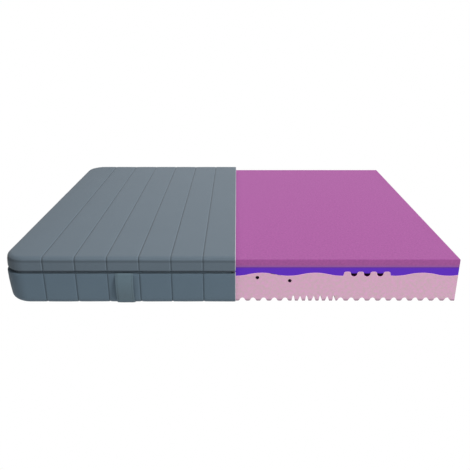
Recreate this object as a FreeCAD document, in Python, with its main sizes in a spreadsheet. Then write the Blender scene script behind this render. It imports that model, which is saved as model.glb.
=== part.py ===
"""Memory foam mattress, 160 x 200 cm, with its quilted cover cut away over half its length.

The origin is at the middle of the underside of the whole object. X runs along the
mattress, from the covered end to the bare foam end, Y runs across it and Z is up.
The cover is cut off square at the middle plane of the foam core.
"""

import FreeCAD, Part
import math
import os

import Sketcher

Vector = FreeCAD.Vector
Rule = Sketcher.Constraint

DOC = FreeCAD.newDocument("Mattress")
SHEET = DOC.addObject("Spreadsheet::Sheet", "Sizes")

SIZES = [
    # foam core
    ("core_length", 1944, "core from end to end"),
    ("core_width", 1544, "core from side to side"),
    ("core_height", 200, "core from the floor to its top"),
    ("memory_thickness", 37, "memory foam layer"),
    ("trough_height", 122, "lowest line of the wave between gel foam and base"),
    ("wave_rise", 14.4, "trough to crest"),
    ("wave_pitch", 233, "crest to crest"),
    # pressure-relief knobs on top of the base, in a row over a crest of the wave
    ("knob_crest", 2, "which crest out from the middle carries the knobs, the first being 0"),
    ("knob_row_shift", 7.5, "middle of the row of knobs in from that crest's line"),
    ("knob_pitch", 57, "knob to knob"),
    ("knob_count", 4, "knobs in one row"),
    ("knob_top", 141.5, "top of the knobs"),
    ("knob_width", 28, "flat-to-flat width of one knob"),
    ("knob_foot_slope", 5, "how far the outer flank of a row leans out"),
    ("knob_root", 3, "how far the row of knobs is sunk under the wave's lowest line"),
    ("knob_round", 8, "rounding of the knob tops"),
    ("slot_floor", 118, "bottom of the slots between the knobs"),
    ("slot_lean", 0.5, "how much narrower than the knob gap a slot's round bottom is"),
    ("finger_tip", 133, "lowest line of the gel foam in a slot"),
    ("finger_round", 40, "radius of the gel foam tips"),
    # vent bores across the base
    ("bore_radius", 8, "vent bores"),
    ("inner_bore_place", 97, "inner vent bore from the middle plane"),
    ("inner_bore_height", 113, "inner vent bore axis"),
    ("outer_bore_place", 239, "outer vent bore from the middle plane"),
    ("outer_bore_height", 98, "outer vent bore axis"),
    # notched underside of the base
    ("arch_height", 15.5, "wide arches"),
    ("arch_tip", 11, "radius of their tops"),
    ("arch_reach", 19.5, "half their width where they meet the floor"),
    ("arch_foot", 7.5, "radius of the feet beside them"),
    ("arch_pitch", 47.2, "arch to arch"),
    ("inner_arch_start", 31.8, "first arch from the middle plane"),
    ("inner_arch_count", 5, "arches before the narrow notches"),
    ("outer_arch_start", 466.8, "first arch past the narrow notches"),
    ("end_margin", 33, "least foam between the last arch axis and the end"),
    ("notch_start", 257.2, "first narrow notch from the middle plane"),
    ("notch_pitch", 60, "from one blunt notch to the next, a pointed one between them"),
    ("blunt_count", 4, "blunt notches in a row"),
    ("blunt_height", 24.5, "blunt notches"),
    ("blunt_tip", 4, "radius of their tops"),
    ("blunt_reach", 10, "half their width at the floor"),
    ("pointed_height", 22, "pointed notches"),
    ("pointed_tip", 1.6, "radius of their tops"),
    ("pointed_reach", 11.5, "half their width at the floor"),
    ("notch_foot", 3, "radius of the feet beside narrow notches"),
    # cover
    ("cover_side", 28, "cover beyond the core on every side"),
    ("cover_top", 19, "cover above the core"),
    ("cover_corner", 100, "corner radius of the cover in plan"),
    ("cover_clearance", 0.3, "gap between the cover's lining and the core"),
    ("top_edge_round", 20, "rounding of the cover's top edge"),
    ("bottom_edge_round", 27, "rounding of the cover's bottom edge"),
    ("lip_round", 6, "rounding of the bands where they turn in to the zip"),
    ("knit_thickness", 2, "quilted outer fabric"),
    ("lining_thickness", 1, "lining fabric"),
    ("panel_thickness", 3, "bottom panel"),
    # quilting
    ("quilt_pitch", 137.5, "seam to seam"),
    ("groove_width", 3, "width of a seam's groove"),
    ("groove_depth", 1, "depth of a seam's groove"),
    ("thread_width", 1.4, "stitch line"),
    ("thread_sink", 0.4, "stitch line below the fabric's face"),
    # zip
    ("zip_height", 149, "centre line of the zip"),
    ("zip_gap", 12, "opening between the two bands"),
    ("zip_depth", 9, "front of the zip tapes behind the cover's face"),
    ("tape_thickness", 1, "zip tapes"),
    ("tape_edge", 1.6, "inner edge of a tape from the zip's centre line"),
    ("coil_near", 1.2, "near side of a coil from the zip's centre line"),
    ("coil_far", 3.6, "far side of a coil from the zip's centre line"),
    ("coil_thickness", 2.2, "coils in front of the tapes"),
    # slider
    ("slider_place", 100, "parked slider from where the end side rounds into its rear corner"),
    ("garage_length", 90, "stretch without upper zip where the slider parks"),
    ("slider_length", 11, "slider along the zip"),
    ("plate_thickness", 1.1, "slider plates"),
    ("slider_clearance", 0.5, "slider round the coils and tapes"),
    ("post_half_width", 0.8, "post that joins the slider's plates"),
    ("pin_radius", 0.6, "pin that the pull tab hangs on"),
    ("pin_clearance", 0.15, "pin in the pull tab's eye"),
    ("eye_wall", 0.7, "metal round the pull tab's eye"),
    ("eye_half_width", 1.8, "half the width of the pull tab's eye"),
    ("lug_thickness", 1, "lugs that hold the pin"),
    ("tab_length", 26, "pull tab from its pin to its end"),
    ("tab_half_width", 3, "half the width of the pull tab"),
    ("tab_thickness", 1.2, "pull tab"),
    # handles
    ("strap_width", 76, "strap handles"),
    ("strap_thickness", 3, "strap handles"),
    ("strap_bow", 9, "how far a strap stands off the border at its middle"),
    ("strap_seams", 3.47, "quilting pitches from the middle plane to a strap's centre"),
    ("strap_ground_gap", 0.6, "strap end above the floor"),
    ("strap_top_gap", 5, "strap end under the zip's centre line"),
    ("strap_tuck", 5.5, "how deep a strap's upper end is tucked into the zip's groove"),
]

for row, (alias, value, meaning) in enumerate(SIZES, start=1):
    SHEET.set(f"A{row}", alias)
    SHEET.set(f"B{row}", str(value))
    SHEET.set(f"C{row}", meaning)
    SHEET.setAlias(f"B{row}", alias)
DOC.recompute()

# places that several pieces share, as expressions of the sheet
CUT = "Sizes.cover_side / 2"
CORE_LOW_X = f"({CUT} - Sizes.core_length / 2)"
CORE_HIGH_X = f"({CUT} + Sizes.core_length / 2)"
CORE_HALF_Y = "(Sizes.core_width / 2)"
COVER_TOP = "(Sizes.core_height + Sizes.cover_top)"
COVER_HALF_Y = "(Sizes.core_width / 2 + Sizes.cover_side)"
COVER_LOW_X = f"({CORE_LOW_X} - Sizes.cover_side)"
MEMORY_FLOOR = "(Sizes.core_height - Sizes.memory_thickness)"
KNOB_CENTRE = "((Sizes.knob_crest + 0.5) * Sizes.wave_pitch - Sizes.knob_row_shift)"
KNOB_ROW_HALF = "(((Sizes.knob_count - 1) * Sizes.knob_pitch + Sizes.knob_width) / 2)"
LINING_FACE = "(Sizes.cover_clearance + Sizes.lining_thickness)"
LINING_INSET = f"(Sizes.cover_side - {LINING_FACE})"
INNER_INSET = "(Sizes.cover_side - Sizes.cover_clearance)"
UPPER_LIP = "(Sizes.zip_height + Sizes.zip_gap / 2)"
LOWER_LIP = "(Sizes.zip_height - Sizes.zip_gap / 2)"
TAPE_BACK = "(Sizes.zip_depth + Sizes.tape_thickness)"
SLIDER_Y = f"({COVER_HALF_Y} - Sizes.cover_corner - Sizes.slider_place)"
NEAR = 1e-4
# how far a cutting tool runs past what it cuts: where there is room, and where there is little
OVERRUN = 10
PAST = 1

pieces = []


def size(alias):
    """The value of one cell of the sheet."""
    return float(SHEET.get(alias))


def name_piece(feature, label):
    """Makes a feature one of the mattress's sub-parts, under the name of its node."""
    feature.Label = label
    pieces.append(feature)
    return feature


def set_box(block, low, high):
    """Binds a block's corners to expressions, three for each corner."""
    for side, start, end in zip(("Length", "Width", "Height"), low, high):
        block.setExpression(side, f"({end}) - ({start})")
    for axis, start in zip("xyz", low):
        block.setExpression(f"Placement.Base.{axis}", start)


def plain_box(name, low, high):
    block = DOC.addObject("Part::Box", name)
    set_box(block, low, high)
    return block


def body_box(body, name, low, high, kind="PartDesign::AdditiveBox"):
    block = body.newObject(kind, name)
    set_box(block, low, high)
    return block


def round_edges(body, feature, radius, wanted):
    """Fillets the edges of a feature whose boxes are `wanted`, with a bound radius."""
    DOC.recompute()
    edges = enumerate(feature.Shape.Edges, start=1)
    names = [f"Edge{i}" for i, edge in edges if wanted(edge.BoundBox)]
    fillet = body.newObject("PartDesign::Fillet", "Round")
    fillet.Base = (feature, names)
    fillet.setExpression("Radius", radius)
    return fillet


def round_covered_corners(body, block, radius):
    """Rounds the two upright corners at the covered end."""
    DOC.recompute()
    low_x = block.Shape.BoundBox.XMin
    return round_edges(
        body, block, radius, lambda box: box.ZLength > NEAR and abs(box.XMax - low_x) < NEAR
    )


def cut(name, base, tool):
    feature = DOC.addObject("Part::Cut", name)
    feature.Base = base
    feature.Tool = tool
    return feature


def common(name, base, tool):
    feature = DOC.addObject("Part::Common", name)
    feature.Base = base
    feature.Tool = tool
    return feature


def fuse(name, shapes):
    feature = DOC.addObject("Part::MultiFuse", name)
    feature.Shapes = shapes
    return feature


def envelope(name, inset, bottom, top, top_round=None, bottom_round=None, past_cut=0):
    """The covered half's outline in plan, drawn in by `inset`, between two heights.

    It ends at the cut, or runs past it when it is only a cutting tool. The rim of its
    top and of its bottom can be rounded, everywhere but at the cut.
    """
    body = DOC.addObject("PartDesign::Body", name)
    low = (f"{COVER_LOW_X} + {inset}", f"-({COVER_HALF_Y} - {inset})", bottom)
    high = (f"{CUT} + {past_cut}", f"{COVER_HALF_Y} - {inset}", top)
    last = body_box(body, name + "Block", low, high)
    last = round_covered_corners(body, last, f"Sizes.cover_corner - {inset}")
    DOC.recompute()
    whole = last.Shape.BoundBox

    def rim(height):
        return lambda box: (
            abs(box.ZMin - height) < NEAR and abs(box.ZMax - height) < NEAR
            and box.XMin < whole.XMax - NEAR
        )

    if top_round:
        last = round_edges(body, last, top_round, rim(whole.ZMax))
    if bottom_round:
        last = round_edges(body, last, bottom_round, rim(whole.ZMin))
    return body


# ---- foam core ----


def value_of(expression):
    """The present value of an expression of the sheet."""
    return float(SHEET.evalExpression(expression))


def upright_sketch(body, name, place, height):
    """A sketch on the body's XZ plane, with its origin bound to a place and a height."""
    sketch = body.newObject("Sketcher::SketchObject", name)
    plane = [f for f in body.Origin.OriginFeatures if f.Role == "XZ_Plane"][0]
    sketch.AttachmentSupport = [(plane, "")]
    sketch.MapMode = "FlatFace"
    sketch.setExpression("AttachmentOffset.Base.x", place)
    sketch.setExpression("AttachmentOffset.Base.y", height)
    return sketch


def bind(sketch, constraint, expression):
    index = sketch.addConstraint(constraint)
    sketch.setExpression(f"Constraints[{index}]", expression)


def arc(centre, radius, start, end):
    return Part.ArcOfCircle(Part.Circle(centre, Vector(0, 0, 1), radius), start, end)


def notch_sketch(body, name, place, height, shape, opens_up=False):
    """A notch across the foam: a round tip, two leaning flanks and rounded feet.

    `place` and `height` put the middle of its open side, and `shape` holds the
    expressions of its depth, tip radius, half width at the open side and foot radius.
    """
    sketch = upright_sketch(body, name, place, height)
    deep, tip, reach, foot = (value_of(expression) for expression in shape)
    up = -1 if opens_up else 1
    rise = deep - tip - foot
    swing = math.acos((tip + foot) / math.hypot(reach, rise)) - math.atan2(rise, reach)
    tip_centre = Vector(0, up * (deep - tip), 0)
    left_centre = Vector(-reach, up * foot, 0)
    right_centre = Vector(reach, up * foot, 0)

    def around(centre, radius, start, end):
        if opens_up:
            start, end = -end, -start
        return arc(centre, radius, start, end)

    def point(centre, radius, angle):
        return centre + Vector(math.cos(angle), up * math.sin(angle), 0) * radius

    left_rim = Vector(-reach, 0, 0)
    right_rim = Vector(reach, 0, 0)
    outside = Vector(0, -up * OVERRUN, 0)
    quarter = math.pi / 2
    sketch.addGeometry([
        around(tip_centre, tip, swing, math.pi - swing),
        Part.LineSegment(point(tip_centre, tip, math.pi - swing), point(left_centre, foot, -swing)),
        around(left_centre, foot, -quarter, -swing),
        Part.LineSegment(left_rim, left_rim + outside),
        Part.LineSegment(left_rim + outside, right_rim + outside),
        Part.LineSegment(right_rim + outside, right_rim),
        around(right_centre, foot, math.pi + swing, 3 * quarter),
        Part.LineSegment(point(right_centre, foot, math.pi + swing), point(tip_centre, tip, swing)),
    ], False)

    start, end, centre = (2, 1, 3) if opens_up else (1, 2, 3)
    for rule in [
        Rule("Tangent", 0, end, 1, 1),
        Rule("Tangent", 1, 2, 2, end),
        Rule("Coincident", 2, start, 3, 1),
        Rule("Coincident", 3, 2, 4, 1),
        Rule("Coincident", 4, 2, 5, 1),
        Rule("Coincident", 5, 2, 6, end),
        Rule("Tangent", 6, start, 7, 1),
        Rule("Tangent", 7, 2, 0, start),
        Rule("Vertical", 3),
        Rule("Vertical", 5),
        Rule("Horizontal", 4),
        Rule("Vertical", 2, centre, 2, start),
        Rule("Vertical", 6, centre, 6, end),
        Rule("PointOnObject", 2, start, -1),
        Rule("PointOnObject", 6, end, -1),
        Rule("Symmetric", 2, centre, 6, centre, -2),
        Rule("PointOnObject", 0, centre, -2),
    ]:
        sketch.addConstraint(rule)
    deep_at, tip_at, reach_at, foot_at = shape
    to_tip = (0, 3, -1, 1) if opens_up else (-1, 1, 0, 3)
    to_outside = (-1, 1, 3, 2) if opens_up else (3, 2, -1, 1)
    bind(sketch, Rule("Radius", 0, tip), tip_at)
    bind(sketch, Rule("Radius", 2, foot), foot_at)
    bind(sketch, Rule("DistanceX", 2, centre, 6, centre, 2 * reach), f"2 * ({reach_at})")
    bind(sketch, Rule("DistanceY", *to_tip, deep - tip), f"({deep_at}) - ({tip_at})")
    sketch.addConstraint(Rule("DistanceY", *to_outside, OVERRUN))
    return sketch


def trough_sketch(body, place):
    """One trough of the wave, from crest to crest, open upwards: three equal arcs."""
    sketch = upright_sketch(body, "Trough", place, "Sizes.trough_height")
    half = size("wave_pitch") / 2
    rise = size("wave_rise")
    radius_at = "(Sizes.wave_pitch ^ 2 / 4 + Sizes.wave_rise ^ 2) / (4 * Sizes.wave_rise)"
    radius = value_of(radius_at)
    swing = math.asin(half / 2 / radius)
    quarter = math.pi / 2
    left, right = Vector(-half, rise, 0), Vector(half, rise, 0)
    above = Vector(0, OVERRUN, 0)
    sketch.addGeometry([
        arc(Vector(0, radius, 0), radius, -quarter - swing, -quarter + swing),
        arc(Vector(half, rise - radius, 0), radius, quarter, quarter + swing),
        Part.LineSegment(right, right + above),
        Part.LineSegment(right + above, left + above),
        Part.LineSegment(left + above, left),
        arc(Vector(-half, rise - radius, 0), radius, quarter - swing, quarter),
    ], False)
    for rule in [
        Rule("Tangent", 0, 2, 1, 2),
        Rule("Coincident", 1, 1, 2, 1),
        Rule("Coincident", 2, 2, 3, 1),
        Rule("Coincident", 3, 2, 4, 1),
        Rule("Coincident", 4, 2, 5, 2),
        Rule("Tangent", 5, 1, 0, 1),
        Rule("Vertical", 2),
        Rule("Vertical", 4),
        Rule("Horizontal", 3),
        Rule("PointOnObject", 0, 3, -2),
        Rule("Vertical", 1, 3, 1, 1),
        Rule("Vertical", 5, 3, 5, 2),
        Rule("Equal", 0, 1),
        Rule("Equal", 0, 5),
    ]:
        sketch.addConstraint(rule)
    bind(sketch, Rule("Radius", 0, radius), radius_at)
    bind(sketch, Rule("DistanceY", -1, 1, 0, 3, radius), radius_at)
    bind(sketch, Rule("DistanceX", -1, 1, 1, 1, half), "Sizes.wave_pitch / 2")
    bind(sketch, Rule("DistanceX", 5, 2, -1, 1, half), "Sizes.wave_pitch / 2")
    sketch.addConstraint(Rule("DistanceY", 2, 1, 2, 2, OVERRUN))
    return sketch


def cut_row(body, name, sketch, side, spacing, count):
    """Cuts a sketch's outline across the core, and repeats it away from the middle."""
    pocket = body.newObject("PartDesign::Pocket", name)
    pocket.Profile = sketch
    pocket.SideType = "Symmetric"
    pocket.setExpression("Length", f"Sizes.core_width + 2 * {OVERRUN}")
    row = body.newObject("PartDesign::LinearPattern", name + "Row")
    row.Originals = [pocket]
    row.Direction = (sketch, ["H_Axis"])
    row.Mode = "Spacing"
    row.Reversed = side < 0
    row.setExpression("Offset", spacing)
    row.setExpression("Occurrences", count)
    body.Tip = row


def knob_block(body, side):
    """A block with leaning ends on the wave, which the slots divide into knobs."""
    top_half = KNOB_ROW_HALF
    foot_half = f"({top_half} + Sizes.knob_foot_slope)"
    foot = "(Sizes.trough_height - Sizes.knob_root)"
    block = body.newObject("PartDesign::AdditiveWedge", "KnobBlock")
    block.Placement = FreeCAD.Placement(Vector(), FreeCAD.Rotation(Vector(1, 0, 0), 90))
    corners = {
        "Xmin": f"-{foot_half}", "Xmax": foot_half, "X2min": f"-{top_half}", "X2max": top_half,
        "Ymin": "0", "Ymax": f"Sizes.knob_top - {foot}",
        "Zmin": "0", "Zmax": "Sizes.core_width", "Z2min": "0", "Z2max": "Sizes.core_width",
        "Placement.Base.x": f"{CUT} + {side} * {KNOB_CENTRE}",
        "Placement.Base.y": CORE_HALF_Y,
        "Placement.Base.z": foot,
    }
    for corner, expression in corners.items():
        block.setExpression(corner, expression)
    centre = value_of(f"{CUT} + {side} * {KNOB_CENTRE}")
    half, top = value_of(top_half), size("knob_top")

    def row_end(box):
        return (box.XLength < NEAR and box.ZLength < NEAR and abs(box.ZMin - top) < NEAR
                and abs(abs(box.XMin - centre) - half) < NEAR)

    round_edges(body, block, "Sizes.knob_round", row_end)


def cut_slots(body, side):
    """The slots between the knobs of one row."""
    gap = "(Sizes.knob_pitch - Sizes.knob_width) / 2"
    shape = ("Sizes.knob_top - Sizes.slot_floor", f"{gap} - Sizes.slot_lean",
             f"{gap} + Sizes.knob_round", "Sizes.knob_round")
    first = f"{KNOB_CENTRE} - (Sizes.knob_count - 2) / 2 * Sizes.knob_pitch"
    sketch = notch_sketch(body, "Slot", f"{CUT} + {side} * ({first})", "Sizes.knob_top", shape,
                          opens_up=True)
    cut_row(body, "Slot", sketch, side, "Sizes.knob_pitch", "Sizes.knob_count - 1")


def bore(body, place, height):
    """A vent bore right across the core."""
    hole = body.newObject("PartDesign::SubtractiveCylinder", "Bore")
    hole.Placement = FreeCAD.Placement(Vector(), FreeCAD.Rotation(Vector(1, 0, 0), 90))
    hole.setExpression("Radius", "Sizes.bore_radius")
    hole.setExpression("Height", f"Sizes.core_width + 2 * {OVERRUN}")
    hole.setExpression("Placement.Base.x", f"{CUT} + {place}")
    hole.setExpression("Placement.Base.y", f"{CORE_HALF_Y} + {OVERRUN}")
    hole.setExpression("Placement.Base.z", height)


ARCH = ("Sizes.arch_height", "Sizes.arch_tip", "Sizes.arch_reach", "Sizes.arch_foot")
BLUNT = ("Sizes.blunt_height", "Sizes.blunt_tip", "Sizes.blunt_reach", "Sizes.notch_foot")
POINTED = ("Sizes.pointed_height", "Sizes.pointed_tip", "Sizes.pointed_reach", "Sizes.notch_foot")
OUTER_ARCHES = (
    "floor((Sizes.core_length / 2 - Sizes.end_margin - Sizes.outer_arch_start)"
    " / Sizes.arch_pitch) + 1"
)
NOTCH_ROWS = [
    ("InnerArch", ARCH, "Sizes.inner_arch_start", "Sizes.arch_pitch", "Sizes.inner_arch_count"),
    ("OuterArch", ARCH, "Sizes.outer_arch_start", "Sizes.arch_pitch", OUTER_ARCHES),
    ("Blunt", BLUNT, "Sizes.notch_start", "Sizes.notch_pitch", "Sizes.blunt_count"),
    ("Pointed", POINTED, "Sizes.notch_start + Sizes.notch_pitch / 2", "Sizes.notch_pitch",
     "Sizes.blunt_count - 1"),
]


def make_support_foam():
    """The base of the core: wave and knobs on top, vent bores, notches underneath."""
    body = DOC.addObject("PartDesign::Body", "SupportFoam")
    low = (CORE_LOW_X, f"-{CORE_HALF_Y}", "0")
    high = (CORE_HIGH_X, CORE_HALF_Y, "Sizes.knob_top")
    block = body_box(body, "SupportBlock", low, high)
    round_covered_corners(body, block, "Sizes.cover_corner - Sizes.cover_side")
    panel_low = (f"{CORE_LOW_X} - {PAST}", f"-{CORE_HALF_Y} - {PAST}", f"-{PAST}")
    panel_high = (CUT, f"{CORE_HALF_Y} + {PAST}", "Sizes.panel_thickness")
    body_box(body, "PanelRoom", panel_low, panel_high, "PartDesign::SubtractiveBox")
    troughs = "floor(Sizes.core_length / 2 / Sizes.wave_pitch + 0.5)"
    outward = trough_sketch(body, CUT)
    cut_row(body, "WaveBare", outward, 1, "Sizes.wave_pitch", f"{troughs} + 1")
    inward = trough_sketch(body, f"{CUT} - Sizes.wave_pitch")
    cut_row(body, "WaveCovered", inward, -1, "Sizes.wave_pitch", troughs)
    for side in (1, -1):
        knob_block(body, side)
        cut_slots(body, side)
        for name, shape, start, spacing, count in NOTCH_ROWS:
            sketch = notch_sketch(body, name, f"{CUT} + {side} * ({start})", "0", shape)
            cut_row(body, name, sketch, side, spacing, count)
        bore(body, f"{side} * Sizes.inner_bore_place", "Sizes.inner_bore_height")
        bore(body, f"{side} * Sizes.outer_bore_place", "Sizes.outer_bore_height")
    return name_piece(body, "support_foam")


def slot_airs():
    """The air left in each slot under the round tip of the gel foam."""
    half_width = "Sizes.knob_pitch / 2"
    sink = f"(Sizes.finger_round - sqrt(Sizes.finger_round ^ 2 - {half_width} ^ 2 / 4))"
    airs = []
    for side in (1, -1):
        for slot in range(int(size("knob_count")) - 1):
            place = (f"({CUT} + {side} * ({KNOB_CENTRE} + ({slot} - (Sizes.knob_count - 2) / 2)"
                     " * Sizes.knob_pitch))")
            low = (f"{place} - {half_width} / 2", f"-{CORE_HALF_Y} - {PAST}",
                   f"Sizes.slot_floor - {PAST}")
            high = (f"{place} + {half_width} / 2", f"{CORE_HALF_Y} + {PAST}",
                    f"Sizes.finger_tip + {sink}")
            room = plain_box("SlotRoom", low, high)
            tip = DOC.addObject("Part::Cylinder", "FingerTip")
            tip.Placement = FreeCAD.Placement(Vector(), FreeCAD.Rotation(Vector(1, 0, 0), 90))
            tip.setExpression("Radius", "Sizes.finger_round")
            tip.setExpression("Height", f"Sizes.core_width + 2 * {OVERRUN}")
            tip.setExpression("Placement.Base.x", place)
            tip.setExpression("Placement.Base.y", f"{CORE_HALF_Y} + {OVERRUN}")
            tip.setExpression("Placement.Base.z", "Sizes.finger_tip + Sizes.finger_round")
            airs.append(cut("SlotAir", room, tip))
    return airs


def make_gel_foam(support):
    """The gel foam: flat on top, and lying on the base's wave and between its knobs."""
    body = DOC.addObject("PartDesign::Body", "GelBlock")
    low = (CORE_LOW_X, f"-{CORE_HALF_Y}", f"Sizes.trough_height - {PAST}")
    high = (CORE_HIGH_X, CORE_HALF_Y, MEMORY_FLOOR)
    block = body_box(body, "GelBox", low, high)
    round_covered_corners(body, block, "Sizes.cover_corner - Sizes.cover_side")
    below = fuse("BelowGel", [support] + slot_airs())
    return name_piece(cut("GelFoam", body, below), "gel_foam")


def make_memory_foam():
    """The flat top layer of the core."""
    body = DOC.addObject("PartDesign::Body", "MemoryFoam")
    low = (CORE_LOW_X, f"-{CORE_HALF_Y}", MEMORY_FLOOR)
    high = (CORE_HIGH_X, CORE_HALF_Y, "Sizes.core_height")
    block = body_box(body, "MemoryBlock", low, high)
    round_covered_corners(body, block, "Sizes.cover_corner - Sizes.cover_side")
    return name_piece(body, "memory_foam")


# ---- cover ----


def seam_slabs(name, width, bottom, top):
    """A slab across the mattress at every quilting seam, clear of the rounded corners."""
    slabs = []
    straight = size("core_length") / 2 + size("cover_side") - size("cover_corner")
    seams = int(straight / size("quilt_pitch"))
    for seam in range(1, seams + 1):
        middle = f"({CUT} - {seam} * Sizes.quilt_pitch)"
        low = (f"{middle} - {width} / 2", f"-{COVER_HALF_Y} - {PAST}", bottom)
        high = (f"{middle} + {width} / 2", f"{COVER_HALF_Y} + {PAST}", top)
        slabs.append(plain_box(name, low, high))
    return fuse(name + "s", slabs)


def skin(name, outer_inset, inner_inset, bottom, top, rounds):
    """The layer of a cover between two insets; `rounds` are its rims' radii at inset 0."""
    top_round, bottom_round = rounds

    def layer(part, inset, past_cut):
        low = f"{bottom} + {inset}"
        high = f"{top} - {inset}"
        return envelope(name + part, inset, low, high, f"{top_round} - {inset}",
                        f"{bottom_round} - {inset}", past_cut)

    return cut(name, layer("Outer", outer_inset, 0), layer("Inner", inner_inset, OVERRUN))


def cover_fabric(name, bottom, top, rounds, seam_low, seam_high, opening):
    """Quilted fabric of one half of the cover, with its seam grooves, and its stitch lines."""
    whole = skin(name + "Whole", "0", "Sizes.knit_thickness", bottom, top, rounds)
    groove = common(
        name + "Groove",
        skin(name + "GrooveSkin", "0", "Sizes.groove_depth", bottom, top, rounds),
        seam_slabs(name + "GrooveSlab", "Sizes.groove_width", seam_low, seam_high),
    )
    stitches = common(
        name + "Stitches",
        skin(name + "StitchSkin", "Sizes.thread_sink", "Sizes.groove_depth", bottom, top, rounds),
        seam_slabs(name + "StitchSlab", "Sizes.thread_width", seam_low, seam_high),
    )
    tools = fuse(name + "Openings", [groove] + opening)
    return cut(name, whole, tools), stitches


def zip_half(name, sign):
    """Tape and coil of one side of the zip, above its centre line or below it."""
    def between(near, far):
        heights = [f"Sizes.zip_height + {sign} * {edge}" for edge in (near, far)]
        return heights if sign > 0 else heights[::-1]

    outer_edge = "(Sizes.zip_gap / 2 + Sizes.knit_thickness)"
    low, high = between("Sizes.tape_edge", outer_edge)
    tape = cut(name + "Tape",
               envelope(name + "TapeOuter", "Sizes.zip_depth", low, high),
               envelope(name + "TapeInner", TAPE_BACK, f"{low} - {PAST}", f"{high} + {PAST}",
                        past_cut=OVERRUN))
    low, high = between("Sizes.coil_near", "Sizes.coil_far")
    coil = cut(name + "Coil",
               envelope(name + "CoilOuter", "(Sizes.zip_depth - Sizes.coil_thickness)", low, high),
               envelope(name + "CoilInner", "Sizes.zip_depth", f"{low} - {PAST}", f"{high} + {PAST}",
                        past_cut=OVERRUN))
    return tape, coil


def make_top_cover():
    """The lift-off half of the cover: quilted top and side band, down to the zip."""
    rounds = ("Sizes.top_edge_round", "Sizes.lip_round")
    lip_mouth = envelope("TopMouth", "Sizes.zip_depth", f"{UPPER_LIP} - {PAST}",
                         f"{UPPER_LIP} + Sizes.knit_thickness + {PAST}", past_cut=OVERRUN)
    fabric, thread = cover_fabric(
        "TopFabric", UPPER_LIP, COVER_TOP, rounds,
        f"{UPPER_LIP} + Sizes.lip_round", f"{COVER_TOP} + {PAST}", [lip_mouth])
    name_piece(fabric, "top_cover_fabric")
    name_piece(thread, "top_quilting_thread")

    floor = f"({UPPER_LIP} + Sizes.knit_thickness)"
    top = f"({COVER_TOP} - Sizes.knit_thickness)"
    lining_top = f"(Sizes.core_height + {LINING_FACE})"
    wadding = cut(
        "TopWadding",
        envelope("TopWaddingOuter", "Sizes.knit_thickness", floor, top,
                 "Sizes.top_edge_round - Sizes.knit_thickness",
                 "Sizes.lip_round - Sizes.knit_thickness"),
        envelope("TopWaddingInner", LINING_INSET, f"{floor} - {PAST}", lining_top,
                 past_cut=OVERRUN))
    name_piece(wadding, "top_cover_wadding")

    hem = f"({floor} - Sizes.lining_thickness)"
    lining = cut(
        "TopLining",
        fuse("TopLiningOuter", [envelope("TopLiningHem", TAPE_BACK, hem, floor),
                                envelope("TopLiningSheet", LINING_INSET, hem, lining_top)]),
        envelope("TopLiningInner", INNER_INSET, f"{hem} - {PAST}",
                 "Sizes.core_height + Sizes.cover_clearance", past_cut=OVERRUN))
    name_piece(lining, "top_cover_lining")

    tape, coil = zip_half("UpperZip", 1)
    for part, label in ((tape, "upper_zip_tape"), (coil, "upper_zip_coil")):
        low = (f"{COVER_LOW_X} - {PAST}", f"{SLIDER_Y} - Sizes.garage_length / 2",
               f"Sizes.zip_height - {PAST}")
        high = (f"{COVER_LOW_X} + {TAPE_BACK} + {OVERRUN}",
                f"{SLIDER_Y} + Sizes.garage_length / 2",
                f"{UPPER_LIP} + Sizes.knit_thickness + {PAST}")
        name_piece(cut(part.Name + "Parted", part, plain_box("Garage", low, high)), label)


def make_lower_cover():
    """The half of the cover that stays under the core: quilted border and bottom panel."""
    rounds = ("Sizes.lip_round", "Sizes.bottom_edge_round")
    ceiling = f"({LOWER_LIP} - Sizes.knit_thickness)"
    lip_mouth = envelope("BorderMouth", "Sizes.zip_depth", f"{ceiling} - {PAST}",
                         f"{LOWER_LIP} + {PAST}", past_cut=OVERRUN)
    panel_mouth = envelope("PanelMouth", "Sizes.cover_side", f"-{PAST}", f"Sizes.knit_thickness + {PAST}",
                           past_cut=OVERRUN)
    seam_foot = "Sizes.bottom_edge_round / 2"
    fabric, thread = cover_fabric(
        "BorderFabric", "0", LOWER_LIP, rounds, seam_foot, f"{LOWER_LIP} - Sizes.lip_round",
        [lip_mouth, panel_mouth])
    name_piece(fabric, "border_fabric")
    name_piece(thread, "border_quilting_thread")

    wadding = cut(
        "BorderWadding",
        envelope("BorderWaddingOuter", "Sizes.knit_thickness", "Sizes.knit_thickness", ceiling,
                 "Sizes.lip_round - Sizes.knit_thickness",
                 "Sizes.bottom_edge_round - Sizes.knit_thickness"),
        envelope("BorderWaddingInner", LINING_INSET, "0", f"{LOWER_LIP} + {PAST}",
                 past_cut=OVERRUN))
    name_piece(wadding, "border_wadding")

    hem = f"({ceiling} + Sizes.lining_thickness)"
    lining = cut(
        "BorderLining",
        fuse("BorderLiningOuter", [
            envelope("BorderLiningHem", TAPE_BACK, ceiling, hem),
            envelope("BorderLiningSheet", LINING_INSET, "Sizes.knit_thickness", hem)]),
        envelope("BorderLiningInner", INNER_INSET, "0", f"{hem} + {PAST}", past_cut=OVERRUN))
    name_piece(lining, "border_lining")

    panel = envelope("BottomPanel", "Sizes.cover_side", "0", "Sizes.panel_thickness")
    name_piece(panel, "bottom_panel")

    tape, coil = zip_half("LowerZip", -1)
    name_piece(tape, "lower_zip_tape")
    name_piece(coil, "lower_zip_coil")


# ---- strap handles ----


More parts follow.
